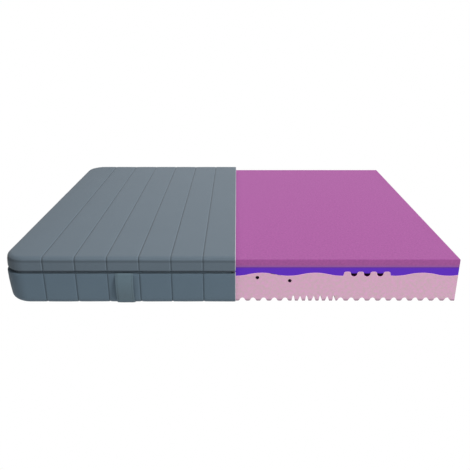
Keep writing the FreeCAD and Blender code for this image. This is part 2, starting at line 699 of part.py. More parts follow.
def make_handles():
    """A strap on each long side, from the zip down round the bottom edge, standing off."""
    middle = f"({CUT} - Sizes.strap_seams * Sizes.quilt_pitch)"
    left, right = (f"{middle} {sign} Sizes.strap_width / 2" for sign in "-+")
    face = f"-{COVER_HALF_Y}"
    bow_low = "Sizes.bottom_edge_round"
    bow_high = f"({LOWER_LIP} - Sizes.lip_round)"
    strap = "Sizes.strap_thickness"
    close = skin("StrapClose", f"(0 - {strap})", "0", "0", LOWER_LIP,
                 ("Sizes.lip_round", "Sizes.bottom_edge_round"))
    lower_room = plain_box("StrapLower", (left, f"{face} - 2 * {strap}", "Sizes.strap_ground_gap"),
                           (right, f"{face} + {bow_low}", bow_low))
    upper_room = plain_box(
        "StrapUpper", (left, f"{face} - 2 * {strap}", bow_high),
        (right, f"{face} + Sizes.strap_tuck", "Sizes.zip_height - Sizes.strap_top_gap"))
    chord = f"({bow_high} - {bow_low})"
    inner_radius = f"({chord} ^ 2 / 4 + Sizes.strap_bow ^ 2) / (2 * Sizes.strap_bow)"
    rolls = []
    for name, radius in (("StrapRollOuter", f"{inner_radius} + {strap}"),
                         ("StrapRollInner", inner_radius)):
        roll = DOC.addObject("Part::Cylinder", name)
        roll.Placement = FreeCAD.Placement(Vector(), FreeCAD.Rotation(Vector(0, 1, 0), 90))
        roll.setExpression("Radius", radius)
        roll.setExpression("Height", "Sizes.strap_width")
        roll.setExpression("Placement.Base.x", left)
        roll.setExpression("Placement.Base.y", f"{face} - Sizes.strap_bow + {inner_radius}")
        roll.setExpression("Placement.Base.z", f"({bow_high} + {bow_low}) / 2")
        rolls.append(roll)
    bow_room = plain_box("StrapBow", (left, f"{face} - Sizes.strap_bow - 2 * {strap}", bow_low),
                         (right, face, bow_high))
    front = fuse("HandleFront", [
        common("StrapBottom", close, lower_room),
        common("StrapMiddle", cut("StrapRoll", *rolls), bow_room),
        common("StrapTop", close, upper_room),
    ])
    rear = DOC.addObject("Part::Mirroring", "HandleRear")
    rear.Source = front
    rear.Normal = Vector(0, 1, 0)
    name_piece(front, "handle_front")
    name_piece(rear, "handle_rear")


# ---- zip slider ----

COIL_FRONT = "(Sizes.zip_depth - Sizes.coil_thickness)"
PLATE_FRONT = f"({COIL_FRONT} - Sizes.slider_clearance - Sizes.plate_thickness)"
SLIDER_EDGE = "(Sizes.coil_far + Sizes.slider_clearance + Sizes.plate_thickness)"
EYE_RADIUS = "(Sizes.pin_radius + Sizes.pin_clearance + Sizes.eye_wall)"
PIN_DEPTH = f"({PLATE_FRONT} - Sizes.pin_clearance - {EYE_RADIUS})"
LUG_EDGE = "(Sizes.eye_half_width + Sizes.pin_clearance + Sizes.lug_thickness)"


def end_box(name, depths, along, heights):
    """A box at the end side: depths behind the cover's face, the rest from the slider's middle."""
    low, high = (
        (f"{COVER_LOW_X} + {depth}", f"{SLIDER_Y} + {y}", f"Sizes.zip_height + {z}")
        for depth, y, z in zip(depths, along, heights)
    )
    return plain_box(name, low, high)


def upright_pin(name, radius, half_height):
    """A cylinder on the axis that the pull tab swings about."""
    pin = DOC.addObject("Part::Cylinder", name)
    pin.setExpression("Radius", radius)
    pin.setExpression("Height", f"2 * {half_height}")
    pin.setExpression("Placement.Base.x", f"{COVER_LOW_X} + {PIN_DEPTH}")
    pin.setExpression("Placement.Base.y", SLIDER_Y)
    pin.setExpression("Placement.Base.z", f"Sizes.zip_height - {half_height}")
    return pin


def make_slider():
    """Two plates round the zip, joined by a post between the coils, with the pull's pin."""
    half = "Sizes.slider_length / 2"
    ends = (f"-{half}", half)
    plate = "Sizes.plate_thickness"
    edges = (f"-{SLIDER_EDGE}", SLIDER_EDGE)
    flange = (f"({PLATE_FRONT} + {plate})", "(Sizes.zip_depth - Sizes.slider_clearance)")
    back = f"({TAPE_BACK} + Sizes.slider_clearance)"
    post = "Sizes.post_half_width"
    lug_depths = (f"({PIN_DEPTH} - Sizes.pin_radius)", PLATE_FRONT)
    lug_ends = (f"-{EYE_RADIUS}", EYE_RADIUS)
    boxes = [
        end_box("FrontPlate", (PLATE_FRONT, f"({PLATE_FRONT} + {plate})"), ends, edges),
        end_box("BackPlate", (back, f"({back} + {plate})"), ends, edges),
        end_box("UpperFlange", flange, ends, (f"({SLIDER_EDGE} - {plate})", SLIDER_EDGE)),
        end_box("LowerFlange", flange, ends, (f"-{SLIDER_EDGE}", f"({plate} - {SLIDER_EDGE})")),
        end_box("Post", (PLATE_FRONT, back), (f"({half} - 2 * {post})", half),
                (f"-{post}", post)),
        end_box("UpperLug", lug_depths, lug_ends,
                (f"({LUG_EDGE} - Sizes.lug_thickness)", LUG_EDGE)),
        end_box("LowerLug", lug_depths, lug_ends,
                (f"-{LUG_EDGE}", f"(Sizes.lug_thickness - {LUG_EDGE})")),
    ]
    slider = fuse("Slider", boxes + [upright_pin("Pin", "Sizes.pin_radius", LUG_EDGE)])
    return name_piece(slider, "zip_slider")


def make_pull_tab():
    """The pull: an eye round the pin, a neck and a wider grip, lying along the zip."""
    half = "Sizes.tab_thickness / 2"
    depths = (f"({PIN_DEPTH} - {half})", f"({PIN_DEPTH} + {half})")
    grip_start = f"(2 * {EYE_RADIUS} + Sizes.lug_thickness)"
    eye = "Sizes.eye_half_width"
    solid = fuse("TabSolid", [
        upright_pin("Eye", EYE_RADIUS, eye),
        end_box("Neck", depths, ("0", grip_start), (f"-{eye}", eye)),
        end_box("Grip", depths, (grip_start, "Sizes.tab_length"),
                ("-Sizes.tab_half_width", "Sizes.tab_half_width")),
    ])
    hole = upright_pin("EyeHole", "Sizes.pin_radius + Sizes.pin_clearance", f"(2 * {eye})")
    return name_piece(cut("PullTab", solid, hole), "zip_pull_tab")


def check_document():
    """Stops if any object failed, or any piece is not one sound shape."""
    for thing in DOC.Objects:
        if "Invalid" in thing.State or "Error" in thing.State:
            raise RuntimeError(f"{thing.Name} ({thing.Label}) failed: {thing.State}")
    for piece in pieces:
        if piece.Shape.isNull() or not piece.Shape.isValid() or not piece.Shape.Solids:
            raise RuntimeError(f"{piece.Label} has no sound shape")


def main():
    support = make_support_foam()
    make_gel_foam(support)
    make_memory_foam()
    make_top_cover()
    make_lower_cover()
    make_handles()
    make_slider()
    make_pull_tab()
    DOC.recompute()
    check_document()
    os.makedirs("parts", exist_ok=True)
    for piece in pieces:
        piece.Shape.exportStep(f"parts/{piece.Label}.step")
        box = piece.Shape.BoundBox
        print(f"{piece.Label}: {len(piece.Shape.Solids)} solids, {piece.Shape.Volume / 1e3:.2f} cm3,"
              f" x {box.XMin:.1f} {box.XMax:.1f} y {box.YMin:.1f} {box.YMax:.1f}"
              f" z {box.ZMin:.1f} {box.ZMax:.1f}")


main()
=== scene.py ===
"""Looks of a memory foam mattress whose quilted cover is cut away over half its length."""

import bmesh
import bpy
import math
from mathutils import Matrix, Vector, noise


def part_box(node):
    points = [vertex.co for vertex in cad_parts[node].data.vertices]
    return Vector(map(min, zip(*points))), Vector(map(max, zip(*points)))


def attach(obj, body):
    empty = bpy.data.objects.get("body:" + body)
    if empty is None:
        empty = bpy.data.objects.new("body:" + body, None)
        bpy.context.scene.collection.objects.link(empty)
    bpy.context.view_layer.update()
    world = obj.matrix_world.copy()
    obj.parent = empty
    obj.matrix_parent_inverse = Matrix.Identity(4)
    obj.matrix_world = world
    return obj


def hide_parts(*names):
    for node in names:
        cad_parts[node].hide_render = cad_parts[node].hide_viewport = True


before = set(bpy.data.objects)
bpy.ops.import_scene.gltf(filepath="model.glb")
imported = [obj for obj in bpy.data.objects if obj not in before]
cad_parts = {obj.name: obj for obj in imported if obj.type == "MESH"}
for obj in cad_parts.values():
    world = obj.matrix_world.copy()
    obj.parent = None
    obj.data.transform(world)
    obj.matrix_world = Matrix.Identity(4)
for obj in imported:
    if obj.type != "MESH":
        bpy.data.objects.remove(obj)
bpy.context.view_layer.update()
MM = 0.001

# ---- sizes: places come from the frame, and shapes that its boxes don't tell are named ----

CORE_LOW, CORE_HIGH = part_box("memory_foam")
GEL_LOW, GEL_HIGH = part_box("gel_foam")
BASE_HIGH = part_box("support_foam")[1]
TOP_LOW, TOP_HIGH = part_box("top_cover_fabric")
BORDER_LOW, BORDER_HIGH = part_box("border_fabric")
PANEL_LOW, PANEL_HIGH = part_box("bottom_panel")
THREAD_LOW, THREAD_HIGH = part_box("top_quilting_thread")
STRAP_LOW, STRAP_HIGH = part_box("handle_front")
UPPER_TAPE_LOW, UPPER_TAPE_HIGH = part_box("upper_zip_tape")
LOWER_TAPE_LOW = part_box("lower_zip_tape")[0]
UPPER_COIL_LOW, UPPER_COIL_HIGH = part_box("upper_zip_coil")
LOWER_COIL_LOW, LOWER_COIL_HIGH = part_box("lower_zip_coil")
SLIDER_LOW, SLIDER_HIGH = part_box("zip_slider")
CUT_X = TOP_HIGH.x
ZIP_Z = (UPPER_COIL_LOW.z + LOWER_COIL_HIGH.z) / 2
ZIP_DEPTH = UPPER_TAPE_LOW.x - TOP_LOW.x

COVER_SIDE = BORDER_HIGH.y - CORE_HIGH.y
COVER_CORNER = 100 * MM
CORE_CORNER = COVER_CORNER - COVER_SIDE
TOP_EDGE_ROUND = 20 * MM
BOTTOM_EDGE_ROUND = 27 * MM
LIP_ROUND = 6 * MM
KNIT = 2 * MM
LINING = 1 * MM
CLEARANCE = 0.3 * MM
CUT_FRINGE = 3 * MM
# the upper band's and the border's swell on the long sides, and how much more at the covered end
UPPER_SWELL = (1 * MM, 5 * MM)
LOWER_SWELL = (1 * MM, 9 * MM)
# how far below the band and above the border each swell would go on
UPPER_REACH = 60 * MM
LOWER_REACH = 130 * MM
# spacing of the cuts that let linings and panel, the quilted layers and the memory foam bend
SHEET_STEP = 60 * MM
QUILT_STEP = 34.7 * MM
FOAM_STEP = 40 * MM

THREAD_WIDTH = 1.4 * MM
QUILT_PITCH = CUT_X - THREAD_HIGH.x + THREAD_WIDTH / 2
SEAM_COUNT = round((THREAD_HIGH.x - THREAD_LOW.x) / QUILT_PITCH) + 1
SEAM_DEPTH = 2.2 * MM
SEAM_WIDTH = 3.2 * MM
# distances from a seam, in mm, where quilted layers are cut so that they can bend
SEAM_OFFSETS = (0, 1.5, 3, 4.5, 6.5, 9, 13, 20, 32, 50)
# the soft pull of the thread beyond a seam, and how far it reaches
SEAM_PULL = 0.5 * MM
SEAM_REACH = 22 * MM
CREASE_Z = TOP_HIGH.z - 19 * MM
CREASE_DEPTH = 2.2 * MM
CREASE_WIDTH = 2.5 * MM
# size and number per metre of the large and the small unevenness of quilted cloth
QUILT_WAVES = ((0.5 * MM, 6), (0.25 * MM, 23))

WAVE_PITCH = 233 * MM
WAVE_RISE = 14.4 * MM
TROUGH_Z = GEL_LOW.z
KNOB_CENTRE = 2.5 * WAVE_PITCH - 7.5 * MM
KNOB_PITCH = 57 * MM
KNOB_WIDTH = 28 * MM
KNOB_TOP = BASE_HIGH.z
KNOB_ROUND = 8 * MM
KNOB_SLOPE = 5 * MM
SLOT_FLOOR = 118 * MM
FINGER_TIP = 133 * MM
FINGER_ROUND = 40 * MM
BORE_RADIUS = 8 * MM
BORES = ((97 * MM, 113 * MM), (239 * MM, 98 * MM))
# depth, tip radius, half width at the floor and foot radius of a notch
ARCH = (15.5 * MM, 11 * MM, 19.5 * MM, 7.5 * MM)
BLUNT = (24.5 * MM, 4 * MM, 10 * MM, 3 * MM)
POINTED = (22 * MM, 1.6 * MM, 11.5 * MM, 3 * MM)
ARCH_PITCH = 47.2 * MM
NOTCH_PITCH = 60 * MM
# distance of the first notch from the cut, spacing, number and shapes of a group
NOTCH_GROUPS = ((31.8 * MM, ARCH_PITCH, 5, (ARCH,)),
                (257.2 * MM, NOTCH_PITCH / 2, 7, (BLUNT, POINTED)),
                (466.8 * MM, ARCH_PITCH, 11, (ARCH,)))
SLOT_EASE = 0.5 * MM
WAVE_STEPS = 200
EDGE_BEVEL = 1.5 * MM
MEMORY_EDGE_ROUND = 3 * MM
FOAM_SINK = 0.6 * MM

COIL_PITCH = 2 * MM
COIL_GAP = 0.9 * MM
GARAGE = 90 * MM
STITCH_PITCH = 5 * MM
STITCH_LENGTH = 3.8 * MM
STITCH_RADIUS = 0.6 * MM
TOOTH_LENGTH = 2.7 * MM
TOOTH_RADIUS = 0.75 * MM
TAPE_THICKNESS = 0.7 * MM
STRAP_BOW = 10.5 * MM
STRAP_THICKNESS = 2.4 * MM
STRAP_SEAM = 7 * MM
STRAP_GRAIN = 0.25 * MM


# ---- modelling helpers ----


def start_mesh(name):
    """Names the new primitive and settles its place and size in its mesh."""
    piece = bpy.context.object
    piece.name = name
    piece.data.name = name
    bpy.ops.object.transform_apply(location=True, rotation=True, scale=True)
    return piece


def add_block(name, low, high):
    """A cube between two corners."""
    bpy.ops.object.select_all(action="DESELECT")
    low, high = Vector(low), Vector(high)
    bpy.ops.mesh.primitive_cube_add(size=1, location=(low + high) / 2)
    bpy.context.object.scale = high - low
    return start_mesh(name)


def pick(piece, mode, test):
    """Selects, in edit mode, the edges or faces whose vertices all pass a test."""
    bpy.ops.mesh.select_mode(type=mode)
    bpy.ops.mesh.select_all(action="DESELECT")
    mesh = bmesh.from_edit_mesh(piece.data)
    parts = mesh.edges if mode == "EDGE" else mesh.faces
    for part in parts:
        part.select_set(test([vert.co for vert in part.verts]))
    bmesh.update_edit_mesh(piece.data)


def near(a, b):
    """Whether two places are the same but for rounding."""
    return abs(a - b) < 1e-5


def choose(piece):
    """Makes a piece the only selected and the active one."""
    bpy.ops.object.select_all(action="DESELECT")
    bpy.context.view_layer.objects.active = piece
    piece.select_set(True)


def edit(piece):
    """Opens a piece for editing."""
    choose(piece)
    bpy.ops.object.mode_set(mode="EDIT")


def leave():
    """Ends editing."""
    bpy.ops.object.mode_set(mode="OBJECT")


def round_off(piece, radius, segments, test):
    """Rounds, in edit mode, the edges that pass a test."""
    pick(piece, "EDGE", test)
    bpy.ops.mesh.bevel(offset=radius, segments=segments, affect="EDGES", clamp_overlap=False)


def slice_at(axis, places):
    """Cuts the piece in edit mode across one axis at several places, so that it can bend there."""
    normal = Vector((axis == 0, axis == 1, axis == 2))
    for place in places:
        bpy.ops.mesh.select_all(action="SELECT")
        bpy.ops.mesh.bisect(plane_co=normal * place, plane_no=normal)


def use_modifier(piece, kind, **settings):
    """Adds a modifier and applies it."""
    choose(piece)
    modifier = piece.modifiers.new(kind.title(), kind)
    for setting, value in settings.items():
        setattr(modifier, setting, value)
    bpy.ops.object.modifier_apply(modifier=modifier.name)


def carve(piece, tool, operation="DIFFERENCE"):
    """Cuts a piece with another, or keeps what they share, and deletes the tool."""
    use_modifier(piece, "BOOLEAN", operation=operation, object=tool, solver="EXACT")
    bpy.data.objects.remove(tool)


def smooth(piece, angle=35, flat_axis=None):
    """Smooths the shading across edges below an angle, but not on faces square to an axis."""
    choose(piece)
    bpy.ops.object.shade_smooth_by_angle(angle=math.radians(angle))
    if flat_axis is not None:
        for face in piece.data.polygons:
            if abs(face.normal[flat_axis]) > 0.999:
                face.use_smooth = False


def copy_moved(piece, name, shift=(0, 0, 0), mirror_y=False):
    """A copy with its own mesh, moved or mirrored front to rear in its vertices."""
    twin = piece.copy()
    twin.data = piece.data.copy()
    twin.name = name
    bpy.context.scene.collection.objects.link(twin)
    for vert in twin.data.vertices:
        if mirror_y:
            vert.co.y = -vert.co.y
        vert.co += Vector(shift)
    if mirror_y:
        twin.data.flip_normals()
    return twin


def join(name, parts):
    """Makes one piece of several."""
    bpy.ops.object.select_all(action="DESELECT")
    for part in parts:
        part.select_set(True)
    bpy.context.view_layer.objects.active = parts[0]
    bpy.ops.object.join()
    parts[0].name = name
    return parts[0]


def rounded_route(points, radii):
    """A flat route of straight runs joined by arcs.

    Gives its length, and a function for the place and direction at any distance along it.
    """
    runs = []
    here = Vector(points[0])
    for before, corner, after, radius in zip(points, points[1:], points[2:], radii):
        corner, after = Vector(corner), Vector(after)
        into, out = (corner - Vector(before)).normalized(), (after - corner).normalized()
        turn = into.angle_signed(out) * -1
        reach = abs(radius * math.tan(turn / 2))
        start = corner - into * reach
        runs.append(("line", here, into, (start - here).length, 0))
        runs.append(("arc", start, into, abs(turn) * radius, math.copysign(radius, turn)))
        here = corner + out * reach
    last = Vector(points[-1])
    runs.append(("line", here, (last - here).normalized(), (last - here).length, 0))
    length = sum(run[3] for run in runs)

    def at(distance):
        for index, (kind, start, heading, run, radius) in enumerate(runs):
            if distance <= run or index == len(runs) - 1:
                break
            distance -= run
        side = Vector((-heading.y, heading.x))
        if kind == "line":
            return start + heading * distance, heading
        turned = distance / radius
        place = start + heading * radius * math.sin(turned) + side * radius * (1 - math.cos(turned))
        return place, heading * math.cos(turned) + side * math.sin(turned)

    return length, at


def lay_along(piece, at, to_space):
    """Moves a piece that was made along X onto a route: X is distance, Y lateral, Z outward."""
    for vert in piece.data.vertices:
        place, heading = at(vert.co.x)
        vert.co = to_space(place, heading, vert.co.y, vert.co.z)


def repeat_along(name, make_unit, length, pitch, at, to_space):
    """Copies of a small unit, one every `pitch`, laid along a route."""
    unit = make_unit(name)
    use_modifier(unit, "ARRAY", count=int(length / pitch), use_relative_offset=False,
                 use_constant_offset=True, constant_offset_displace=(pitch, 0, 0))
    lay_along(unit, at, to_space)
    smooth(unit, 50)
    return unit


# ---- foam ----


def arc_points(centre, radius, start, end, steps):
    """Points on an arc from one angle to another."""
    angles = [start + (end - start) * i / steps for i in range(steps + 1)]
    return [(centre[0] + radius * math.cos(a), centre[1] + radius * math.sin(a)) for a in angles]


def notch_points(centre, rim, shape, up):
    """A notch's outline from left to right, opening down (up = 1) or up (up = -1)."""
    deep, tip, reach, foot = shape
    rise = deep - tip - foot
    swing = math.acos((tip + foot) / math.hypot(reach, rise)) - math.atan2(rise, reach)
    quarter = math.pi / 2
    left = arc_points((-reach, foot), foot, -quarter, -swing, 4)
    middle = arc_points((0, deep - tip), tip, math.pi - swing, swing, 10)
    right = arc_points((reach, foot), foot, math.pi + swing, 3 * quarter, 4)
    return [(centre + x, rim + up * z) for x, z in left + middle + right]


def underside():
    """The notched underside from end to end, lifted onto the panel where it is covered."""
    half = [(first + i * pitch, shapes[i % len(shapes)])
            for first, pitch, count, shapes in NOTCH_GROUPS for i in range(count)]
    places = sorted([(CUT_X + side * x, shape) for side in (-1, 1) for x, shape in half],
                    key=lambda place: place[0])
    points = [(CORE_LOW.x, 0.0)]
    for centre, shape in places:
        points += notch_points(centre, 0.0, shape, 1)
    points.append((CORE_HIGH.x, 0.0))
    lifted = []
    for x, z in points:
        if lifted and lifted[-1][0] < CUT_X <= x:
            lifted += [(CUT_X, PANEL_HIGH.z), (CUT_X, 0.0)]
        lifted.append((x, max(z, PANEL_HIGH.z) if x < CUT_X else z))
    return lifted


def wave_z(x):
    """Height of the wave at a place along the mattress: equal arcs from crest to trough."""
    half = WAVE_PITCH / 2
    radius = (half ** 2 + WAVE_RISE ** 2) / (4 * WAVE_RISE)
    away = abs((x - CUT_X + half) % WAVE_PITCH - half)
    if away < half / 2:
        return TROUGH_Z + radius - math.sqrt(radius ** 2 - away ** 2)
    return TROUGH_Z + WAVE_RISE - radius + math.sqrt(radius ** 2 - (half - away) ** 2)


def knob_row(centre, slot):
    """The top of one row of knobs, from left to right, with the given outline in its slots."""
    half = 1.5 * KNOB_PITCH + KNOB_WIDTH / 2
    lean = math.atan2(KNOB_SLOPE, KNOB_TOP - TROUGH_Z)
    shoulder = arc_points((half - KNOB_ROUND * 0.8, -KNOB_ROUND), KNOB_ROUND, math.pi / 2, lean, 5)

    def foot(side):
        x = centre + side * (half + KNOB_SLOPE * 0.8)
        return (x, wave_z(x))

    points = [foot(-1)]
    points += [(centre - x, KNOB_TOP + z) for x, z in reversed(shoulder)]
    for gap in (-1, 0, 1):
        points += slot(centre + gap * KNOB_PITCH)
    points += [(centre + x, KNOB_TOP + z) for x, z in shoulder]
    points.append(foot(1))
    return points


def open_slot(centre):
    """The outline of an empty slot between two knobs."""
    gap = (KNOB_PITCH - KNOB_WIDTH) / 2
    shape = (KNOB_TOP - SLOT_FLOOR, gap - SLOT_EASE, gap + KNOB_ROUND, KNOB_ROUND)
    return notch_points(centre, KNOB_TOP, shape, -1)


def filled_slot(centre):
    """A slot's outline with the gel foam's round tip in it, which leaves air below."""
    outline = open_slot(centre)

    def tip_z(x):
        return FINGER_TIP + FINGER_ROUND - math.sqrt(FINGER_ROUND ** 2 - (x - centre) ** 2)

    return [(x, max(z, tip_z(x)) if abs(x - centre) < KNOB_PITCH / 4 else z) for x, z in outline]


def wave_line(slot):
    """The joint between base and gel foam from left to right."""
    rows = [CUT_X - KNOB_CENTRE, CUT_X + KNOB_CENTRE]
    reach = 1.5 * KNOB_PITCH + KNOB_WIDTH / 2 + KNOB_SLOPE
    points = []
    for i in range(WAVE_STEPS + 1):
        x = CORE_LOW.x + (CORE_HIGH.x - CORE_LOW.x) * i / WAVE_STEPS
        if rows and x > rows[0] - reach:
            points += knob_row(rows.pop(0), slot)
        if abs(abs(x - CUT_X) - KNOB_CENTRE) > reach:
            points.append((x, wave_z(x)))
    return points


def foam_prism(name, outline):
    """A foam layer with an outline seen from the front, as wide as the core."""
    bpy.ops.object.select_all(action="DESELECT")
    bpy.ops.mesh.primitive_circle_add(vertices=len(outline), radius=1, fill_type="NGON")
    piece = start_mesh(name)
    for vert, (x, z) in zip(piece.data.vertices, outline):
        vert.co = (x, CORE_LOW.y, z)
    edit(piece)
    bpy.ops.mesh.select_all(action="SELECT")
    bpy.ops.mesh.extrude_region_move(
        TRANSFORM_OT_translate={"value": (0, CORE_HIGH.y - CORE_LOW.y, 0)})
    bpy.ops.mesh.select_all(action="SELECT")
    bpy.ops.mesh.remove_doubles(threshold=1e-6)
    bpy.ops.mesh.normals_make_consistent(inside=False)
    leave()
    corner_block = add_block(name + "_corners", (CORE_LOW.x, CORE_LOW.y, -0.1),
                             (CORE_HIGH.x + 0.1, CORE_HIGH.y, 0.4))
    edit(corner_block)
    round_off(corner_block, CORE_CORNER, 16, lambda cos: near(cos[0].x, CORE_LOW.x)
              and near(cos[1].x, CORE_LOW.x) and near(cos[0].y, cos[1].y))
    leave()
    carve(piece, corner_block, "INTERSECT")
    return piece


def ease_edges(piece, above):
    """Takes the sharpness off the outline of a layer's front and rear faces, above a height."""
    edit(piece)
    round_off(piece, EDGE_BEVEL, 2, lambda cos: all(co.z > above for co in cos)
              and any(all(near(co.y, face) for co in cos) for face in (CORE_LOW.y, CORE_HIGH.y)))
    leave()


def mark_faces(piece, name, test):
    """Marks the faces that pass a test with an attribute, where the material paints shade or a highlight.
    """
    marks = piece.data.attributes.new(name, "FLOAT", "FACE")
    for face, mark in zip(piece.data.polygons, marks.data):
        mark.value = float(test(face.center, face.normal))


def on_rim(centre, normal):
    """Whether a face belongs to the eased edge along the joint, which catches the light and gets a
    painted highlight as well.
    """
    return centre.z > TROUGH_Z - 5 * MM and 0.1 < abs(normal.y) < 0.98


def slot_places():
    """Where the slots are along the mattress."""
    return [CUT_X + side * KNOB_CENTRE + gap * KNOB_PITCH for side in (-1, 1) for gap in (-1, 0, 1)]


def in_base_vent(centre, normal):
    """Whether a face of the base lies on the wall of a bore or in the air of a slot, which gets painted
    dark shade.
    """
    if abs(normal.y) > 0.5:
        return False
    for side in (-1, 1):
        for place, height in BORES:
            if math.hypot(centre.x - CUT_X - side * place, centre.z - height) < BORE_RADIUS * 1.02:
                return True
    return centre.z < FINGER_TIP and any(abs(centre.x - x) < KNOB_PITCH / 4 for x in slot_places())


def in_gel_vent(centre, normal):
    """Whether a face of the gel foam is the underside of a finger, which gets painted dark shade."""
    return (normal.z < -0.5 and centre.z < FINGER_TIP + 4 * MM
            and any(abs(centre.x - x) < KNOB_PITCH / 4 for x in slot_places()))


def make_support_foam():
    """The base: notched below, wavy and knobbed above, with vent bores."""
    outline = underside() + list(reversed(wave_line(open_slot)))
    piece = foam_prism("support_foam_base", outline)
    ease_edges(piece, 100 * MM)
    for side in (-1, 1):
        for place, height in BORES:
            bpy.ops.object.select_all(action="DESELECT")
            bpy.ops.mesh.primitive_cylinder_add(
                vertices=32, radius=BORE_RADIUS, depth=2, rotation=(math.pi / 2, 0, 0),
                location=(CUT_X + side * place, 0, height))
            carve(piece, start_mesh("bore"))
    # the vent faces get painted shade and the eased rim a painted highlight
    mark_faces(piece, "vent", in_base_vent)
    mark_faces(piece, "rim", on_rim)
    smooth(piece, 25, flat_axis=1)
    return piece


def make_gel_foam():
    """The middle layer, which fills the wave and reaches down between the knobs."""
    outline = wave_line(filled_slot) + [(GEL_HIGH.x, GEL_HIGH.z), (GEL_LOW.x, GEL_HIGH.z)]
    piece = foam_prism("gel_foam_layer", outline)
    mark_faces(piece, "vent", in_gel_vent)
    smooth(piece, 25, flat_axis=1)
    return piece


def make_memory_foam():
    """The top layer, with softly rounded edges and a slightly uneven skin."""
    piece = add_block("memory_foam_layer", CORE_LOW, CORE_HIGH)
    edit(piece)
    round_off(piece, CORE_CORNER, 16, lambda cos: near(cos[0].x, CORE_LOW.x)
              and near(cos[1].x, CORE_LOW.x) and near(cos[0].y, cos[1].y))
    round_off(piece, MEMORY_EDGE_ROUND, 4, lambda cos: near(cos[0].z, CORE_HIGH.z)
              and near(cos[1].z, CORE_HIGH.z))
    slice_at(0, [CORE_LOW.x + FOAM_STEP * i for i in range(1, 48)])
    slice_at(1, [CORE_LOW.y + FOAM_STEP * i for i in range(1, 38)])
    leave()
    for vert in piece.data.vertices:
        if vert.co.z > CORE_HIGH.z - 0.1 * MM:
            vert.co.z -= FOAM_SINK * (0.5 + 0.5 * noise.noise(vert.co * 4))
    smooth(piece)
    return piece


# ---- cover ----


def seam_distance(x):
    """Distance along the mattress from the nearest quilting seam."""
    count = round((CUT_X - x) / QUILT_PITCH)
    return abs(CUT_X - min(max(count, 1), SEAM_COUNT) * QUILT_PITCH - x)


def dip(distance, width):
    """A smooth dip's share, 1 in its middle."""
    return math.exp(-((distance / width) ** 2))


def quilt_rise(co):
    """How far quilted fabric stands out or is drawn in at a place."""
    away = seam_distance(co.x)
    pull = SEAM_DEPTH * dip(away, SEAM_WIDTH) + SEAM_PULL * math.exp(-away / SEAM_REACH)
    crease = CREASE_DEPTH * dip(co.z - CREASE_Z, CREASE_WIDTH)
    uneven = sum(size * noise.noise(co * count) for size, count in QUILT_WAVES)
    return uneven - pull - crease


def slice_for_quilting(low_z, high_z, band_rows):
    """Cuts a cover layer finely beside each seam and evenly elsewhere."""
    for seam in range(SEAM_COUNT + 1):
        middle = CUT_X - seam * QUILT_PITCH
        places = {middle + sign * offset * MM for offset in SEAM_OFFSETS for sign in (-1, 1)}
        slice_at(0, sorted(place for place in places if place < CUT_X - 0.1 * MM))
    slice_at(0, [CUT_X - (SEAM_COUNT + 0.55) * QUILT_PITCH])
    slice_at(1, [TOP_LOW.y + 36 * MM + QUILT_STEP * i for i in range(45)])
    slice_at(2, [low_z + (high_z - low_z) * (i + 1) / (band_rows + 1) for i in range(band_rows)])
    if low_z < CREASE_Z < high_z:
        slice_at(2, [CREASE_Z + i * CREASE_WIDTH / 2 for i in (-3, -2, -1, 0, 1, 2, 3)])


def cover_block(name, inset, low_z, high_z, top_round, bottom_round, past_cut=0.0):
    """The covered half's outline drawn in by `inset`, its rims rounded, left open for editing."""
    low = Vector((TOP_LOW.x + inset, BORDER_LOW.y + inset, low_z))
    high = Vector((CUT_X + past_cut, BORDER_HIGH.y - inset, high_z))
    piece = add_block(name, low, high)
    edit(piece)
    round_off(piece, COVER_CORNER - inset, 16, lambda cos: near(cos[0].x, low.x)
              and near(cos[1].x, low.x) and near(cos[0].y, cos[1].y))
    for height, radius in ((high_z, top_round), (low_z, bottom_round)):
        if radius:
            round_off(piece, radius, 7, lambda cos: all(near(co.z, height) for co in cos)
                      and not all(near(co.x, high.x) for co in cos))
    return piece


def open_mouth(piece, height, reach):
    """Opens, in edit mode, a layer at one height but for a lip `reach` wide."""
    pick(piece, "FACE", lambda cos: all(near(co.z, height) for co in cos))
    bpy.ops.mesh.inset(thickness=reach, use_boundary=False)
    bpy.ops.mesh.delete(type="FACE")


def push_out(piece, rise, belly=lambda co: 0.0, floor=0.0):
    """Moves every vertex along its normal, and sideways for a belly, but none below a floor."""
    normals = [vert.normal.copy() for vert in piece.data.vertices]
    for vert, normal in zip(piece.data.vertices, normals):
        sideways = Vector((normal.x, normal.y, 0))
        vert.co += normal * rise(vert.co) + sideways * belly(vert.co)
        vert.co.z = max(vert.co.z, floor)


def bulge(z, low_z, high_z):
    """A smooth swell between two heights, from 0 to 1."""
    middle, half = (low_z + high_z) / 2, (high_z - low_z) / 2
    return max(0.0, 1 - ((z - middle) / half) ** 2)


def end_share(co):
    """How much a place belongs to the covered end, which bulges more than the long sides."""
    return min(1.0, max(0.0, (TOP_LOW.x + COVER_CORNER - co.x) / COVER_CORNER))


def upper_belly(co):
    """How far the upper band swells sideways."""
    side, end = UPPER_SWELL
    return (side + end * end_share(co)) * bulge(co.z, TOP_LOW.z - UPPER_REACH, TOP_HIGH.z)


def lower_belly(co):
    """How far the border swells sideways."""
    side, end = LOWER_SWELL
    return (side + end * end_share(co)) * bulge(co.z, BORDER_LOW.z, BORDER_HIGH.z + LOWER_REACH)


